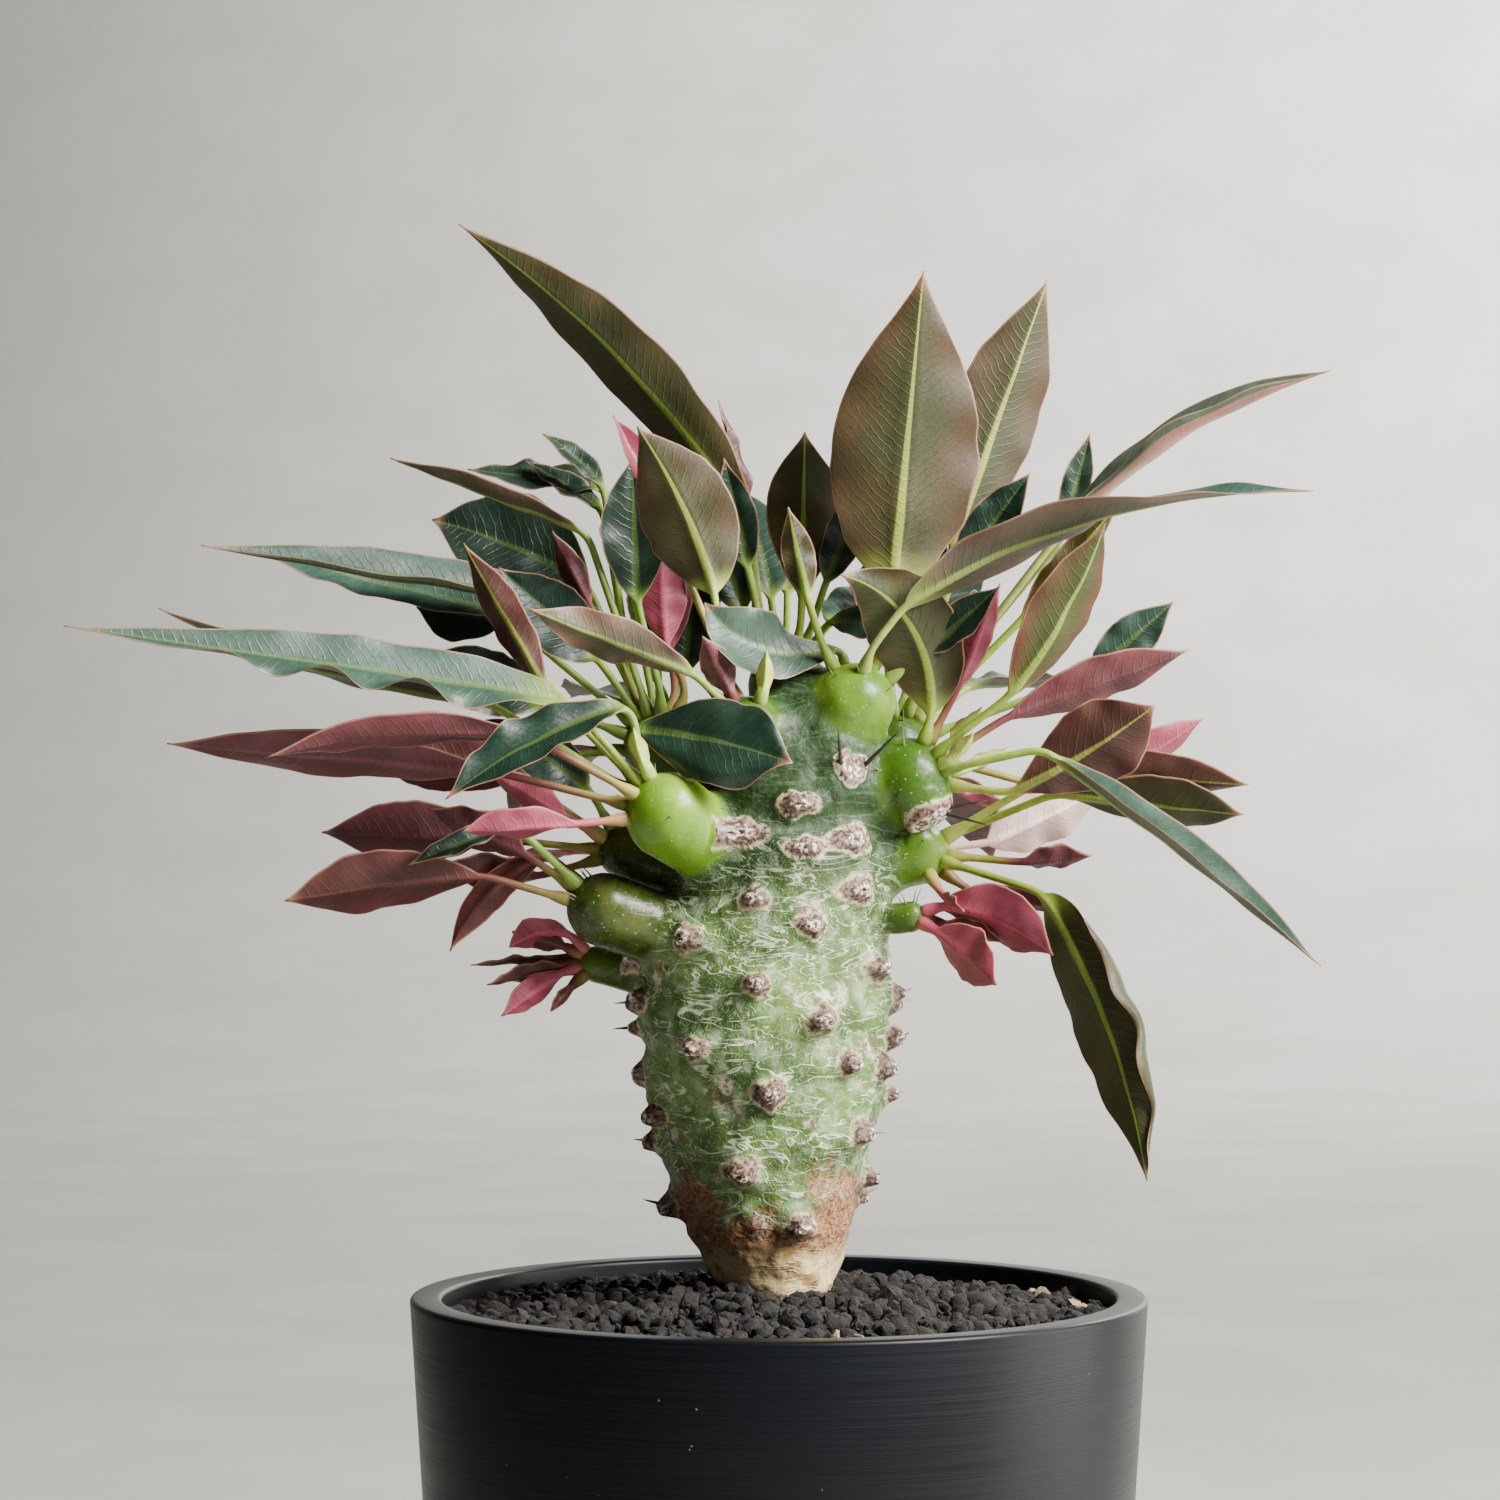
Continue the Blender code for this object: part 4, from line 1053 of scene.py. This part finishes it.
POT_SEGMENTS = 192
RIM_ROUND = 0.7
RIM_WIDTH = 4.5
RIM_DEPTH = 7.0
WALL = 2.2
FLOOR = 3.0
CENTRE_DISC = 0.5       # radius of the flat disc that closes the pot's floor at the axis
DRAIN_HOLES = 6
DRAIN_PLACE = 28.0
DRAIN_RADIUS = 3.2
DRAIN_DEPTH = 12.0
SOIL_REACH, SOIL_TOP = (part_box("soil")[1][index] / MM for index in (0, 2))
SOIL_SEGMENTS = 128
SOIL_STEPS = 26
SOIL_AT_WALL = 97.0
MOUND_RADIUS = 40.0
STEM_AT_SOIL = 6.5
GRAIN_SINK = 0.9


def turned(name, profile, segments, material, replaced=None):
    """A piece turned about the Z axis from radius and height pairs, closed at both ends."""
    points = []
    for radius, height in profile:
        for index in range(segments):
            angle = math.tau * index / segments
            points.append((radius * math.cos(angle), radius * math.sin(angle), height))
    faces = ring_faces(0, segments, len(profile))
    faces += [tuple(range(segments)), tuple(range(len(points) - segments, len(points)))]
    piece = new_piece(name, points, faces, material, replaced)
    turn_out(piece.data)
    return piece


def corner(radius, height, turn, start, steps=4):
    """Points on a quarter round whose centre is at radius and height."""
    angles = [math.radians(start + 90 * step / steps) for step in range(steps + 1)]
    return [(radius + turn * math.cos(angle), height + turn * math.sin(angle)) for angle in angles]


def pot():
    _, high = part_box("pot")
    rim, height = high.x / MM, high.z / MM
    foot = max(math.hypot(point.x, point.y) for point in node_points("pot") if point.z < 1.0)
    inner = rim - RIM_WIDTH
    profile = [(CENTRE_DISC, 0.0)]
    profile += corner(foot - RIM_ROUND, RIM_ROUND, RIM_ROUND, -90, 3)
    profile += corner(rim - RIM_ROUND, height - RIM_ROUND, RIM_ROUND, 0)
    profile += corner(inner + RIM_ROUND, height - RIM_ROUND, RIM_ROUND, 90)
    profile += [(inner, height - RIM_DEPTH), (foot - WALL, FLOOR), (CENTRE_DISC, FLOOR)]
    piece = turned("pot_body", profile, POT_SEGMENTS, pot_material(), "pot")
    piece.data.set_sharp_from_angle(angle=math.radians(50))
    cutters = []
    for index in range(DRAIN_HOLES):
        place = DRAIN_PLACE * direction(360 / DRAIN_HOLES * index, 0)
        bpy.ops.mesh.primitive_cylinder_add(vertices=32, radius=DRAIN_RADIUS * MM,
                                            depth=DRAIN_DEPTH * MM, location=place * MM)
        cutters.append(bpy.context.object)
        hole = piece.modifiers.new("drain", "BOOLEAN")
        hole.object = cutters[-1]
        hole.solver = "EXACT"
    bake_modifiers(piece)
    for cutter in cutters:
        bpy.data.objects.remove(cutter)


def soil_height(radius):
    """Height of the bed at a distance from the pot's axis, as the CAD bed has it."""
    return SOIL_AT_WALL + smooth((SOIL_REACH - radius) / MOUND_RADIUS) * (SOIL_TOP - SOIL_AT_WALL)


def soil():
    material = soil_material()
    profile = [(SOIL_REACH - 4.5, FLOOR + 0.4), (SOIL_REACH - 0.4, 92.0)]
    for step in range(SOIL_STEPS):
        radius = SOIL_REACH * (1 - step / SOIL_STEPS)
        profile.append((radius + 0.3, soil_height(radius) - 1.2))
    bed = turned("soil_bed", profile, SOIL_SEGMENTS, material, "soil")
    store(bed.data, "tint", np.zeros(len(bed.data.vertices)))
    grains("soil_grains", material, 1500, (1.0, 1.75), 2, 11)
    grains("soil_dust", material, 3000, (0.4, 0.85), 1, 12)


def ball(detail):
    """The points and faces of a ball of radius 1, to be made into a crumb."""
    build = bmesh.new()
    bmesh.ops.create_icosphere(build, subdivisions=detail, radius=1.0)
    points = [vertex.co.copy() for vertex in build.verts]
    faces = [tuple(vertex.index for vertex in face.verts) for face in build.faces]
    build.free()
    return points, faces


def grains(name, material, count, sizes, detail, seed):
    """Crumbs scattered over the bed, each turned and squashed its own way."""
    draw = random.Random(seed)
    shape, shape_faces = ball(detail)
    points, faces, tints = [], [], []
    for number in range(count):
        distance, angle = SOIL_REACH * math.sqrt(draw.random()), draw.uniform(0, math.tau)
        size = draw.uniform(*sizes)
        distance = min(distance, SOIL_REACH - size)
        x, y = distance * math.cos(angle), distance * math.sin(angle)
        if math.hypot(x, y) < STEM_AT_SOIL:
            continue
        clod = 1.1 * noise.noise(Vector((x, y, 3.0)) * 0.12)
        place = Vector((x, y, soil_height(distance) - GRAIN_SINK + clod + draw.uniform(-0.6, 0.9)))
        spin = Matrix.Rotation(draw.uniform(0, math.tau), 3, Vector(
            (draw.uniform(-1, 1), draw.uniform(-1, 1), draw.uniform(-1, 1) + 0.01)).normalized())
        stretch = Vector((draw.uniform(0.8, 1.25), draw.uniform(0.7, 1.1), draw.uniform(0.65, 1.0)))
        tint = draw.random()
        first = len(points)
        for point in shape:
            rough = 1 + 0.42 * noise.noise(point * 1.3 + Vector((number * 3.1, seed, 0)))
            local = Vector([value * scale for value, scale in zip(point * size * rough, stretch)])
            points.append(place + spin @ local)
            tints.append(tint)
        faces += [tuple(first + index for index in face) for face in shape_faces]
    piece = new_piece(name, points, faces, material)
    piece.data.set_sharp_from_angle(angle=math.radians(40))
    store(piece.data, "tint", tints)


# ---------------------------------------------------------------- stage, lights and camera


def stage():
    """A pale floor that sweeps up into a wall far behind."""
    half, wall, sweep, top, steps = 6.0, 3.2, 1.6, 4.0, 24
    line = [(-half, 0.0), (wall - sweep, 0.0)]
    for step in range(1, steps + 1):
        angle = math.radians(90 * step / steps)
        line.append((wall - sweep + sweep * math.sin(angle), sweep * (1 - math.cos(angle))))
    line.append((wall, top))
    points = [(x, y, z) for y, z in line for x in (-half, half)]
    faces = [(2 * i, 2 * i + 1, 2 * i + 3, 2 * i + 2) for i in range(len(line) - 1)]
    mesh = bpy.data.meshes.new("floor")
    mesh.from_pydata(points, [], faces)
    mesh.materials.append(stage_material())
    mesh.shade_smooth()
    floor = bpy.data.objects.new("floor", mesh)
    bpy.context.scene.collection.objects.link(floor)


def area_light(name, place, aim, size, power, colour):
    light = bpy.data.lights.new(name, "AREA")
    light.shape = "RECTANGLE"
    light.size, light.size_y = size
    light.energy = power
    light.color = colour
    lamp = bpy.data.objects.new(name, light)
    lamp.location = place
    lamp.rotation_euler = (Vector(aim) - Vector(place)).to_track_quat("-Z", "Y").to_euler()
    bpy.context.scene.collection.objects.link(lamp)


def lights():
    centre = (0.0, 0.0, 0.17)
    area_light("window", (0.52, -0.32, 0.6), centre, (0.34, 0.42), 30.0, (1.0, 0.985, 0.95))
    area_light("side_wall", (1.1, 0.0, 0.05), centre, (0.8, 0.7), 14.0, (1.0, 0.99, 0.97))
    area_light("wall_wash", (1.8, 2.1, 1.7), (0.9, 3.2, 0.6), (1.0, 1.0), 230.0, (1.0, 0.995, 0.97))
    world = bpy.data.worlds.new("soft_room")
    bpy.context.scene.world = world
    world.use_nodes = True
    background = world.node_tree.nodes["Background"]
    background.inputs["Color"].default_value = (0.93, 0.96, 1.0, 1.0)
    background.inputs["Strength"].default_value = 0.06


def camera():
    eye = bpy.data.cameras.new("camera")
    eye.lens = 108.5
    eye.sensor_width = 36.0
    eye.clip_start = 0.01
    viewer = bpy.data.objects.new("camera", eye)
    viewer.location = (-0.0041, -0.645, 0.1776)
    viewer.rotation_euler = (math.radians(90), 0, 0)
    bpy.context.scene.collection.objects.link(viewer)
    bpy.context.scene.camera = viewer


pot()
soil()
spines(stem())
leaves()
stage()
lights()
camera()
bpy.context.view_layer.update()
